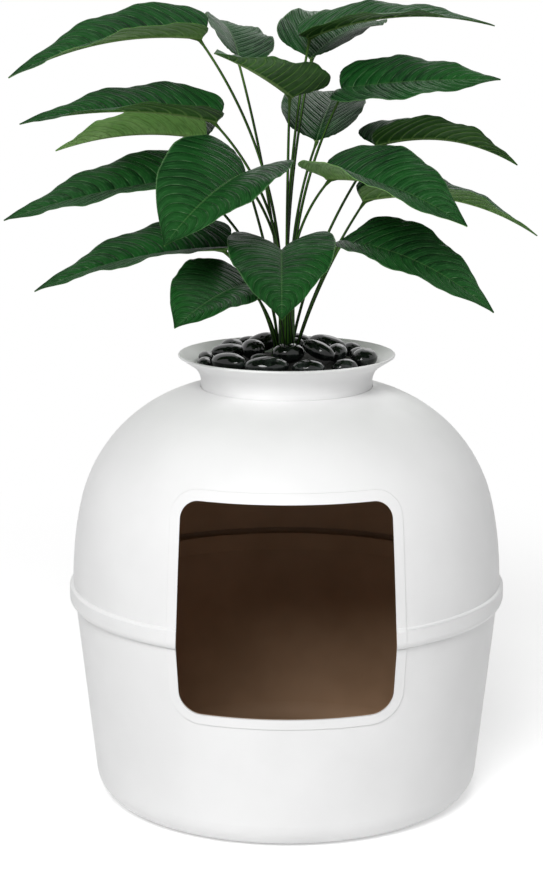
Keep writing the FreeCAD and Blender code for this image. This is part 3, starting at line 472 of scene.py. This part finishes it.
# Widths of the drawn veins as shares of their spacing, and of the midrib as shares of the half-width, with
# the share of each width that has its full colour
UPPER_VEIN = 0.06
UPPER_RIB = 0.022
LOWER_VEIN = 0.13
LOWER_RIB = 0.05
VEIN_CORE = 0.3
RIB_CORE = 0.4


def vein_masks(graph, line, rib):
    """Side veins and midrib of a leaf from its own coordinates, with the distance from its midrib."""
    along, across, _ = graph.layer("leaf")
    side = graph.times(graph.math("ABSOLUTE", graph.math("SUBTRACT", across, 0.5)), 2.0)
    curve = graph.times(graph.times(side, side), VEIN_CURVE)
    sweep = graph.math("ADD", graph.times(side, VEIN_LEAN), curve)
    phase = graph.times(graph.math("SUBTRACT", along, sweep), float(VEIN_PAIRS))
    off = graph.math("PINGPONG", phase, 0.5)
    veins = graph.ramp(off, low=line * VEIN_CORE, high=line, start=1.0, end=0.0)
    veins = graph.times(veins, graph.ramp(side, low=0.75, high=1.0, start=1.0, end=0.15))
    spine = graph.ramp(side, low=rib * RIB_CORE, high=rib, start=1.0, end=0.0)
    return along, side, phase, veins, spine


def leaf_upper():
    """Deep green upper side with painted light and shade on the pillows between fine veins, painted sheen
    streaks, pale veins that are partly painted highlight, a painted highlight along the edge, and a waxy,
    streaky sheen from its roughness.
    """
    graph = Graph("leaf_upper")
    along, side, phase, veins, spine = vein_masks(graph, UPPER_VEIN, UPPER_RIB)
    cloud = graph.noise(graph.place(), scale=16.0, detail=4.0)
    streak = stretched_noise(graph, (phase, 6.0), (side, 3.0), layer=0.0, scale=1.4)
    # Painted light and shade on the pillows: dark just after each vein, light before the next
    pillow_light = graph.ramp(graph.math("FRACT", phase), low=0.1, high=0.75)
    fine = graph.math("PINGPONG", graph.times(phase, 3.0), 0.5)
    # Paleness of the veins: partly their own colour, partly painted highlight where the sheen streaks run
    pale = graph.ramp(streak, low=0.42, high=0.66, start=0.04, end=0.42)
    base = graph.mix(graph.ramp(cloud, low=0.35, high=0.7), LEAF_DARK, LEAF_GREEN)
    base = graph.mix(graph.ramp(along, low=0.25, high=1.0, end=0.4), base, LEAF_TIP)
    base = graph.mix(graph.times(pillow_light, 0.32), base, LEAF_PILLOW_LIGHT)
    # Painted sheen in lighter streaks
    base = graph.mix(graph.ramp(streak, low=0.48, high=0.72, end=0.5), base, LEAF_SHEEN_STREAK)
    base = graph.mix(graph.times(veins, pale), base, LEAF_VEIN_AND_HIGHLIGHT)
    base = graph.mix(graph.times(spine, 0.35), base, LEAF_RIB)
    # Painted highlight in a thin line along the edge
    base = graph.mix(graph.ramp(side, low=0.965, high=1.0, end=0.6), base, LEAF_EDGE_HIGHLIGHT)
    rough = graph.ramp(streak, low=0.38, high=0.68, start=0.46, end=0.26)
    height = graph.math("SUBTRACT", graph.math("ADD", graph.times(streak, 0.8), fine), veins)
    normal = graph.bump(height, strength=0.9, distance=0.0013)
    graph.set(Base_Color=base, Roughness=rough, Specular_IOR_Level=0.07, Normal=normal)
    return graph.material


def leaf_lower():
    """Yellow-green underside with raised veins."""
    graph = Graph("leaf_lower")
    _, side, phase, veins, spine = vein_masks(graph, LOWER_VEIN, LOWER_RIB)
    cloud = graph.noise(graph.place(), scale=18.0, detail=4.0)
    streak = stretched_noise(graph, (phase, 5.0), (side, 4.0), layer=0.0, scale=1.4)
    tone, _, _ = graph.layer("tone")
    patch = graph.ramp(cloud, low=0.35, high=0.7)
    deep = graph.mix(patch, UNDER_DARK, UNDER_GREEN)
    fresh = graph.mix(patch, UNDER_FRESH, UNDER_PALE)
    base = graph.mix(tone, deep, fresh)
    base = graph.mix(graph.ramp(streak, low=0.42, high=0.72, end=0.4), base, UNDER_STREAK)
    base = graph.mix(graph.times(veins, 0.5), base, UNDER_VEIN)
    base = graph.mix(graph.times(spine, 0.7), base, UNDER_RIB)
    rough = graph.ramp(streak, low=0.3, high=0.75, start=0.42, end=0.6)
    height = graph.math("ADD", graph.times(streak, 0.3), veins)
    normal = graph.bump(height, strength=0.7, distance=0.001)
    graph.set(Base_Color=base, Roughness=rough, Specular_IOR_Level=0.06, Normal=normal)
    return graph.material


def add_piece(name, mesh, materials, body, stands_for):
    """Puts a new piece on its body in the place of a node of the frame."""
    for material in materials:
        mesh.materials.append(material)
    piece = bpy.data.objects.new(name, mesh)
    bpy.context.scene.collection.objects.link(piece)
    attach(piece, body)
    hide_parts(stands_for)
    return piece


def smooth_mesh(name, points, faces):
    mesh = bpy.data.meshes.new(name)
    mesh.from_pydata([tuple(p) for p in points], [], faces)
    mesh.polygons.foreach_set("use_smooth", [True] * len(mesh.polygons))
    mesh.update()
    return mesh


def give_layer(mesh, name, pairs):
    """Writes one pair of own coordinates for each point of a mesh."""
    layer = mesh.uv_layers.new(name=name)
    corners = np.zeros(len(mesh.loops), int)
    mesh.loops.foreach_get("vertex_index", corners)
    layer.data.foreach_set("uv", np.asarray(pairs, float)[corners].ravel())


def ring_faces(rings, sides):
    """Faces of a closed tube whose points are given ring by ring."""
    faces = []
    for ring in range(rings - 1):
        for step in range(sides):
            first = ring * sides + step
            second = ring * sides + (step + 1) % sides
            faces.append((first, second, second + sides, first + sides))
    last = (rings - 1) * sides
    faces.append(tuple(range(sides - 1, -1, -1)))
    faces.append(tuple(range(last, last + sides)))
    return faces


def unit(vectors):
    return vectors / np.linalg.norm(vectors, axis=-1, keepdims=True)


def from_collar(place):
    return np.array(place, float) + UP * COLLAR_TOP


def leaf_axes(leaf, along):
    """Directions along a leaf, out of its upper side and to its left, and its length."""
    run = from_collar(leaf.tip) - from_collar(leaf.base)
    forward = unit(run)
    level_up = unit(UP - forward * (UP @ forward))
    turn = np.radians(leaf.roll + leaf.twist * np.asarray(along, float))[..., None]
    upper = level_up * np.cos(turn) + np.cross(forward, level_up) * np.sin(turn)
    return forward, upper, np.cross(upper, forward), np.linalg.norm(run)


def leaf_half_width(along):
    """Half-width as a share of the leaf's greatest, from the notch to the tip."""
    before = np.clip(1 - along / WIDEST_AT, 0, 1)
    after = np.clip((along - WIDEST_AT) / (1 - WIDEST_AT), 0, 1)
    rounded = NOTCH_WIDTH + (1 - NOTCH_WIDTH) * np.sqrt(1 - before ** 2)
    narrowed = (1 - after ** SIDE_POWER) ** TIP_POWER * (1 - TIP_EASE * after)
    return np.where(along < WIDEST_AT, rounded, narrowed)


def leaf_surface(leaf, along, across):
    """Points of a leaf's upper side, in millimetres."""
    forward, upper, left, length = leaf_axes(leaf, along)
    half = leaf.width / 2 * leaf_half_width(along)
    side = np.abs(across)
    reach = along * length - leaf.lobe * (1 - along) ** LOBE_POWER * side * (2 - side)
    share = reach / length
    fold = np.radians(leaf.fold) * (1 - FOLD_EASE * along)
    height = 4 * leaf.bulge * share * (1 - share)
    height = height + half * (side * np.sin(fold) - EDGE_DROOP * side ** 2 * np.cos(fold))
    start = np.where(across > 0, WAVE_START[1], WAVE_START[0])
    wave = np.sin(2 * math.pi * WAVES * along + start)
    height = height + WAVE_HEIGHT * wave * side ** 3 * 4 * along * (1 - along)
    sideways = half * across * np.cos(fold)
    base = from_collar(leaf.base)
    return base + forward * reach[..., None] + upper * height[..., None] + left * sideways[..., None]


def leaf_relief(leaf, number, along, across):
    """Height of the veins, pillows and ripples over a leaf's upper side, and the depth of its midrib."""
    side = np.abs(across)
    to_tip = 1 - along
    distance = leaf.width / 2 * leaf_half_width(along) * side
    phase = VEIN_PAIRS * (along - VEIN_LEAN * side - VEIN_CURVE * side ** 2)
    pillow = np.abs(np.sin(math.pi * phase)) ** PILLOW_POWER - PILLOW_LEVEL
    fade = np.clip(distance / PILLOW_MARGIN, 0, 1) * (1 - side ** PILLOW_EDGE_POWER)
    fade = fade * np.clip(to_tip * PILLOW_TIP_FADE, 0, 1)
    spine = np.exp(-(distance / RIB_WIDTH) ** 2)
    groove = RIB_GROOVE * spine * np.sqrt(to_tip)
    start = number * RIPPLE_LEAF_SHIFT + np.where(across > 0, 0.0, RIPPLE_SIDE_SHIFT)
    ripple = np.sin(2 * math.pi * RIPPLES * along + start)
    ripple = ripple + FINE_RIPPLE_SHARE * np.sin(2 * math.pi * FINE_RIPPLES * along + 2 * start)
    ripple = RIPPLE_HEIGHT * ripple * side ** RIPPLE_EDGE_POWER * np.clip(to_tip * RIPPLE_TIP_FADE, 0, 1)
    rib = RIB_DEPTH * spine * (1 - RIB_TAPER * along)
    return PILLOW_HEIGHT * pillow * fade - groove + ripple, rib


def make_leaf(number, leaf, materials):
    """A thin closed blade with pillows between its veins."""
    steps = np.linspace(-1, 1, LEAF_COLUMNS)
    columns = np.sign(steps) * np.abs(steps) ** COLUMN_POWER
    along, across = np.meshgrid(np.linspace(0, TIP_END, LEAF_ROWS), columns, indexing="ij")
    points = leaf_surface(leaf, along, across)
    normals = unit(np.cross(np.gradient(points, axis=0), np.gradient(points, axis=1)))
    relief, rib = leaf_relief(leaf, number, along, across)
    thick = EDGE_THICKNESS + (MID_THICKNESS - EDGE_THICKNESS) * (1 - across ** 2)
    top = points + normals * relief[..., None]
    bottom = top - normals * (thick + rib)[..., None]
    count = LEAF_ROWS * LEAF_COLUMNS
    index = np.arange(count).reshape(LEAF_ROWS, LEAF_COLUMNS)
    corners = [index[:-1, :-1], index[1:, :-1], index[1:, 1:], index[:-1, 1:]]
    upper_faces = np.stack(corners, axis=-1).reshape(-1, 4)
    lower_faces = upper_faces[:, ::-1] + count
    loop = np.concatenate([index[:, 0], index[-1, 1:], index[-2::-1, -1], index[0, -2:0:-1]])
    following = np.roll(loop, -1)
    rim_faces = np.stack([following, loop, loop + count, following + count], axis=-1)
    faces = np.concatenate([upper_faces, lower_faces, rim_faces]).tolist()
    places = np.concatenate([top.reshape(-1, 3), bottom.reshape(-1, 3)]) * MM
    name = f"blade_{number:02d}"
    mesh = smooth_mesh(name, places, faces)
    own = np.stack([along.ravel(), across.ravel() / 2 + 0.5], axis=-1)
    give_layer(mesh, "leaf", np.concatenate([own, own]))
    give_layer(mesh, "tone", np.full((2 * count, 2), FRESH_LEAVES.get(number, FRESH_ELSEWHERE)))
    add_piece(name, mesh, materials, "plant", f"leaf_{number:02d}")
    sides = np.ones(len(faces), int)
    sides[:len(upper_faces)] = 0
    mesh.polygons.foreach_set("material_index", sides)


# Stalks: sides and steps of their tubes, their radii and lengths in millimetres, and the runner under the
# midrib, with its taper at each step and the share of its radius that lies below the leaf
STALK_SIDES = 14
STALK_BEND_STEPS = 4
STALK_ARC_STEPS = 40
STALK_FOOT_RADIUS = 1.8
STALK_SLIM_RADIUS = 1.45
KNUCKLE_RADIUS = 2.4
KNUCKLE_LENGTH = 9
RUNNER_LENGTH = 16
RUNNER_STEPS = 6
RUNNER_TAPER = 0.13
RUNNER_SINK = 0.8
TUBE_SIDEWAYS = (0.3, 1.0, 0.2)


def stalk_line(leaf):
    """Points along the middle of a stalk from its socket to its knuckle, and its leaf's upward side."""
    rings = {"collar": COLLAR_RING, "core": CORE_RING, "centre": 0}
    level = COLLAR_TOP if leaf.ring == "collar" else CORE_TOP
    turn = math.radians(leaf.turn)
    foot = np.array((rings[leaf.ring] * math.cos(turn), rings[leaf.ring] * math.sin(turn), level))
    _, upper, _, length = leaf_axes(leaf, 0.0)
    share = KNUCKLE_INSET / length
    slope = 4 * leaf.bulge / length * (1 - 2 * share)
    below = CAD_LEAF_THICKNESS + KNUCKLE_ROOM * math.hypot(1, slope)
    knuckle = leaf_surface(leaf, np.array(share), np.array(0.0)) - upper * below
    outward = unit(np.array((knuckle[0] - foot[0], knuckle[1] - foot[1], 0)))
    lean = math.radians(leaf.lean)
    place = foot + UP * STALK_STUB
    points = [foot - UP * SOCKET_DEPTH, foot - UP * SOCKET_DEPTH / 2, place]

    def follow(start, first, turned, radius, steps):
        for step in range(1, steps + 1):
            angle = first + turned * step / steps
            run = radius * (math.cos(first) - math.cos(angle))
            rise = radius * (math.sin(angle) - math.sin(first))
            points.append(start + outward * run + UP * rise)

    if leaf.lean:
        follow(place, 0, lean, STALK_BEND, STALK_BEND_STEPS)
    chord = knuckle - points[-1]
    half_turn = math.atan2(chord @ outward, chord[2]) - lean
    radius = np.linalg.norm(chord) / (2 * math.sin(half_turn))
    follow(points[-1], lean, 2 * half_turn, radius, STALK_ARC_STEPS)
    return np.array(points), upper


def stalk_radii(points):
    """Radius of a stalk at each point: slimmer upwards and swollen at its knuckle."""
    lengths = np.concatenate([[0], np.cumsum(np.linalg.norm(np.diff(points, axis=0), axis=1))])
    share = lengths / lengths[-1]
    to_end = lengths[-1] - lengths
    slim = STALK_FOOT_RADIUS + (STALK_SLIM_RADIUS - STALK_FOOT_RADIUS) * share
    swell = np.clip(1 - to_end / KNUCKLE_LENGTH, 0, 1)
    return slim + (KNUCKLE_RADIUS - slim) * swell ** 2 * (3 - 2 * swell), share


def make_tube(name, points, radii, shares):
    """A closed round tube whose rings turn as little as they can along its line."""
    directions = unit(np.gradient(points, axis=0))
    side = unit(np.cross(directions[0], TUBE_SIDEWAYS))
    rings = []
    own = []
    for point, direction, radius, share in zip(points, directions, radii, shares):
        side = unit(side - direction * (side @ direction))
        other = np.cross(direction, side)
        for step in range(STALK_SIDES):
            angle = 2 * math.pi * step / STALK_SIDES
            rings.append(point + radius * (side * math.cos(angle) + other * math.sin(angle)))
            own.append((share, abs(2 * step / STALK_SIDES - 1)))
    mesh = smooth_mesh(name, np.array(rings) * MM, ring_faces(len(points), STALK_SIDES))
    give_layer(mesh, "stalk", own)
    return mesh


def make_stalk(number, leaf, material):
    """A tapered stalk with a knuckle that runs out under its leaf's midrib."""
    points, upper = stalk_line(leaf)
    radii, shares = stalk_radii(points)
    length = np.linalg.norm(from_collar(leaf.tip) - from_collar(leaf.base))
    runner = []
    runner_radii = []
    for step in range(1, RUNNER_STEPS + 1):
        share = (KNUCKLE_INSET + RUNNER_LENGTH * step / RUNNER_STEPS) / length
        radius = KNUCKLE_RADIUS * (1 - RUNNER_TAPER * step)
        rib = leaf_surface(leaf, np.array(share), np.array(0.0))
        runner.append(rib - upper * (CAD_LEAF_THICKNESS + RUNNER_SINK * radius))
        runner_radii.append(radius)
    name = f"petiole_{number:02d}"
    line = np.concatenate([points, runner])
    radii = np.concatenate([radii, runner_radii])
    shares = np.concatenate([shares, np.ones(len(runner))])
    mesh = make_tube(name, line, radii, shares)
    add_piece(name, mesh, [material], "plant", f"stalk_{number:02d}")


# Main stem: its sides, its flutes and their twist in radians, its collar and its slightly swelling core.
# The rounded edges are given as distances below the top and inside the radius, in millimetres.
STEM_SIDES = 96
STEM_FLUTES = 8
FLUTE_DEPTH = 0.055
FLUTE_TWIST = 0.25
STEM_AXIS_RADIUS = 0.4
COLLAR_RADIUS = 17
COLLAR_CHAMFER = 0.8
COLLAR_EDGE = ((1.6, 0), (0.5, 0.6), (0, 1.6))
CORE_RADIUS = 9.6
CORE_FILLET = (1.2, 2)
CORE_SLIM = 0.3
CORE_STEPS = 12
CORE_SWELL = 0.15
CORE_SWELL_TURN = 9
CORE_EDGE = ((0.6, 0.9), (0, 2))


def stem_profile():
    """Levels and radii of the stem from its foot to its top."""
    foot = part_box("main_stem")[0].z / MM
    fillet_out, fillet_rise = CORE_FILLET
    profile = [
        (foot, STEM_AXIS_RADIUS),
        (foot, COLLAR_RADIUS - COLLAR_CHAMFER),
        (foot + COLLAR_CHAMFER, COLLAR_RADIUS),
    ]
    profile += [(COLLAR_TOP - below, COLLAR_RADIUS - inside) for below, inside in COLLAR_EDGE]
    profile += [(COLLAR_TOP, CORE_RADIUS + fillet_out), (COLLAR_TOP + fillet_rise, CORE_RADIUS)]
    for step in range(1, CORE_STEPS + 1):
        share = step / CORE_STEPS
        level = COLLAR_TOP + fillet_rise + share * (STEM_CORE_RISE - 2 * fillet_rise)
        profile.append((level, CORE_RADIUS - CORE_SLIM + CORE_SWELL * math.sin(CORE_SWELL_TURN * share)))
    profile += [(CORE_TOP - below, CORE_RADIUS - inside) for below, inside in CORE_EDGE]
    profile.append((CORE_TOP, STEM_AXIS_RADIUS))
    return profile


def make_stem(material):
    """Collar in the foam and a fluted core above it, which carry the stalks."""
    profile = stem_profile()
    points = []
    for level, radius in profile:
        fluted = level > COLLAR_TOP and radius > STEM_AXIS_RADIUS
        depth = FLUTE_DEPTH if fluted else 0
        twist = FLUTE_TWIST * (level - COLLAR_TOP) / STEM_CORE_RISE
        for step in range(STEM_SIDES):
            angle = 2 * math.pi * step / STEM_SIDES
            ridge = abs(math.cos(STEM_FLUTES / 2 * (angle + twist)))
            reach = radius * (1 - depth * (1 - ridge))
            points.append((reach * math.cos(angle), reach * math.sin(angle), level))
    mesh = smooth_mesh("stem_bundle", np.array(points) * MM, ring_faces(len(profile), STEM_SIDES))
    add_piece("stem_bundle", mesh, [material], "plant", "main_stem")


# Stones: how fine their surface is, how much of a smooth stone is worn away, and the steps between the
# places in the noise that shape each grade and each stone
WELD_DISTANCE = 1e-6
STONE_DETAIL = 5
STONE_WEAR = 0.06
STONE_LUMP = 1.1
STONE_FINE_WEAR = 0.012
STONE_FINE_LUMP = 4
STONE_GRADES = ("large", "medium", "small")
GRADE_STEP = 10
STONE_STEP = 1.37


def separate_stones(node):
    """Point clouds of the separate stones of a node."""
    stones = bmesh.new()
    stones.from_mesh(NODES[node].data)
    bmesh.ops.remove_doubles(stones, verts=stones.verts, dist=WELD_DISTANCE)
    left = set(stones.verts)
    clouds = []
    while left:
        reached = [left.pop()]
        cloud = []
        while reached:
            vertex = reached.pop()
            cloud.append(tuple(vertex.co))
            for edge in vertex.link_edges:
                other = edge.other_vert(vertex)
                if other in left:
                    left.discard(other)
                    reached.append(other)
        clouds.append(np.array(cloud))
    stones.free()
    return sorted(clouds, key=lambda cloud: tuple(np.round(cloud.mean(axis=0), 4)))


def worn_stone(cloud, seed, ball):
    """Points of a river-worn stone that fills the smooth one through the given points."""
    middle = (cloud.min(axis=0) + cloud.max(axis=0)) / 2
    x, y, z = (cloud - middle).T
    terms = np.stack([x * x, y * y, z * z, 2 * x * y, 2 * x * z, 2 * y * z], axis=1)
    a, b, c, d, e, f = np.linalg.lstsq(terms, np.ones(len(cloud)), rcond=None)[0]
    lower = np.linalg.cholesky(np.array([[a, d, e], [d, b, f], [e, f, c]]))
    stretch = np.linalg.inv(lower).T
    points = []
    for direction in ball:
        lump = noise.noise(Vector(direction) * STONE_LUMP + Vector((seed, 0, 0)))
        fine = noise.noise(Vector(direction) * STONE_FINE_LUMP + Vector((0, seed, 0)))
        keep = 1 - STONE_WEAR * (0.5 + 0.5 * lump) - STONE_FINE_WEAR * (0.5 + 0.5 * fine)
        points.append(middle + stretch @ np.array(direction) * keep)
    return points


def make_pebbles(material):
    """River-worn stones in the places of the smooth ones."""
    ball = bmesh.new()
    bmesh.ops.create_icosphere(ball, subdivisions=STONE_DETAIL, radius=1)
    directions = [tuple(v.co) for v in ball.verts]
    triangles = [[v.index for v in face.verts] for face in ball.faces]
    ball.free()
    for number, grade in enumerate(STONE_GRADES):
        node = f"pebbles_{grade}"
        points = []
        faces = []
        for stone, cloud in enumerate(separate_stones(node)):
            start = len(points)
            points += worn_stone(cloud, GRADE_STEP * number + STONE_STEP * stone, directions)
            faces += [[start + corner for corner in triangle] for triangle in triangles]
        name = f"stones_{grade}"
        add_piece(name, smooth_mesh(name, points, faces), [material], "tray", node)


SOFT_ROUNDS = 3


def soft_mesh(name, node, voxel, wear, scale):
    """A remeshed copy of a soft block, with an uneven surface just inside the first one."""
    copy = bpy.data.objects.new(name + "_start", NODES[node].data.copy())
    bpy.context.scene.collection.objects.link(copy)
    remesh = copy.modifiers.new("fine", "REMESH")
    remesh.mode = "VOXEL"
    remesh.voxel_size = voxel
    smooth = copy.modifiers.new("round", "SMOOTH")
    smooth.iterations = SOFT_ROUNDS
    graph = bpy.context.evaluated_depsgraph_get()
    mesh = bpy.data.meshes.new_from_object(copy.evaluated_get(graph))
    bpy.data.objects.remove(copy)
    mesh.name = name
    mesh.materials.clear()
    for vertex in mesh.vertices:
        depth = wear * (0.5 + 0.5 * noise.noise(vertex.co * scale))
        vertex.co -= vertex.normal * depth
    mesh.polygons.foreach_set("use_smooth", [True] * len(mesh.polygons))
    mesh.update()
    return mesh


def make_soft():
    """The felt of the filter and the foam in the tray."""
    felt = soft_mesh("felt_pad", "filter_pad", voxel=0.0012, wear=0.0006, scale=220)
    pad = add_piece("felt_pad", felt, [charcoal_felt()], "filter", "filter_pad")
    foam = soft_mesh("foam_plug", "foam_block", voxel=0.002, wear=0.0008, scale=150)
    plug = add_piece("foam_plug", foam, [dark_foam()], "tray", "foam_block")


def dress(node, material):
    """Gives a node of the frame its material."""
    NODES[node].data.materials.clear()
    NODES[node].data.materials.append(material)


def make_plant():
    upper = leaf_upper()
    lower = leaf_lower()
    stalk = stalk_green()
    for number, leaf in enumerate(LEAVES, start=1):
        make_leaf(number, leaf, [upper, lower])
        make_stalk(number, leaf, stalk)
    make_stem(stem_green())


def make_pot():
    dress("base_pan", pot_plastic("pan_plastic", pan_inside))
    dress("dome_cover", pot_plastic("cover_plastic", cover_inside))
    dress("planter_tray", pot_plastic("tray_plastic"))
    dress("filter_cover", grille_plastic())
    make_soft()
    make_pebbles(black_pebble())


# Studio: a pale floor that turns plain white away from the pot, a large soft key lamp at the left front, a
# weaker one behind and the light of a white room
FLOOR_SIZE = 120
FLOOR_NEAR = 0.6
FLOOR_FAR = 1.6
FLOOR_GLOW = 0.40
FLOOR_WHITE = colour(252, 252, 252)
FLOOR_WHITE_DULL = colour(249, 249, 249)
ROOM_LIGHT = 0.31
KEY_PLACE = (-0.6, -2.9, 2.75)
KEY_SIZE = 1.8
KEY_POWER = 101
BACK_PLACE = (0.9, 2.6, 2.2)
BACK_SIZE = 1.6
BACK_POWER = 10
AIM = (0, 0, 0.45)


def seen_rays(tree):
    """1 for the rays that show the background to the camera, straight or by way of a surface."""
    path = tree.nodes.new("ShaderNodeLightPath").outputs
    seen = path["Is Camera Ray"]
    for kind in ("Is Glossy Ray", "Is Transmission Ray"):
        either = tree.nodes.new("ShaderNodeMath")
        either.operation = "MAXIMUM"
        tree.links.new(seen, either.inputs[0])
        tree.links.new(path[kind], either.inputs[1])
        seen = either.outputs[0]
    return seen


def make_floor():
    half = FLOOR_SIZE / 2
    points = [(-half, -half, 0), (half, -half, 0), (half, half, 0), (-half, half, 0)]
    mesh = bpy.data.meshes.new("floor")
    mesh.from_pydata(points, [], [(0, 1, 2, 3)])
    graph = Graph("floor")
    place = graph.place()
    x, y, _ = graph.split(place)
    seen = seen_rays(graph.tree)
    pale = graph.mix(graph.noise(place, scale=3.0), FLOOR_WHITE, FLOOR_WHITE_DULL)
    lift = graph.times(seen, FLOOR_GLOW)
    graph.set(Base_Color=pale, Roughness=0.9, Emission_Color=pale, Emission_Strength=lift)
    glow = graph.add("ShaderNodeEmission")
    blend = graph.add("ShaderNodeMixShader")
    away = graph.ramp(graph.distance(x, y), low=FLOOR_NEAR, high=FLOOR_FAR)
    graph.put(graph.times(away, seen), blend.inputs[0])
    graph.put(graph.surface.outputs["BSDF"], blend.inputs[1])
    graph.put(glow.outputs[0], blend.inputs[2])
    graph.put(blend.outputs[0], graph.output.inputs["Surface"])
    mesh.materials.append(graph.material)
    floor = bpy.data.objects.new("floor", mesh)
    bpy.context.scene.collection.objects.link(floor)


def make_lamp(name, place, size, power):
    lamp = bpy.data.lights.new(name, "AREA")
    lamp.shape = "DISK"
    lamp.size = size
    lamp.energy = power
    holder = bpy.data.objects.new(name, lamp)
    holder.location = place
    holder.rotation_euler = (Vector(AIM) - Vector(place)).to_track_quat("-Z", "Y").to_euler()
    bpy.context.scene.collection.objects.link(holder)


def make_room():
    world = bpy.data.worlds.new("room")
    bpy.context.scene.world = world
    world.use_nodes = True
    tree = world.node_tree
    strength = tree.nodes.new("ShaderNodeMapRange")
    strength.inputs["To Min"].default_value = ROOM_LIGHT
    strength.inputs["To Max"].default_value = 1.0
    tree.links.new(seen_rays(tree), strength.inputs["Value"])
    background = tree.nodes["Background"]
    background.inputs["Color"].default_value = (1, 1, 1, 1)
    tree.links.new(strength.outputs["Result"], background.inputs["Strength"])


# Camera that was fitted to the pot's rims in the photograph: metres, degrees, and the millimetres of its
# lens and sensor
CAMERA_PLACE = (0, -2.649, 0.961)
CAMERA_DOWN = 11.63
CAMERA_YAW = 0.374
CAMERA_LENS = 96.08
CAMERA_SENSOR = 36


def make_camera():
    lens = bpy.data.cameras.new("camera")
    lens.lens = CAMERA_LENS
    lens.sensor_width = CAMERA_SENSOR
    camera = bpy.data.objects.new("camera", lens)
    camera.location = CAMERA_PLACE
    camera.rotation_euler = (math.radians(90 - CAMERA_DOWN), 0, math.radians(CAMERA_YAW))
    bpy.context.scene.collection.objects.link(camera)
    bpy.context.scene.camera = camera


make_pot()
make_plant()
make_floor()
make_lamp("key", KEY_PLACE, KEY_SIZE, KEY_POWER)
make_lamp("back", BACK_PLACE, BACK_SIZE, BACK_POWER)
make_room()
make_camera()
bpy.context.scene.view_settings.view_transform = "Standard"
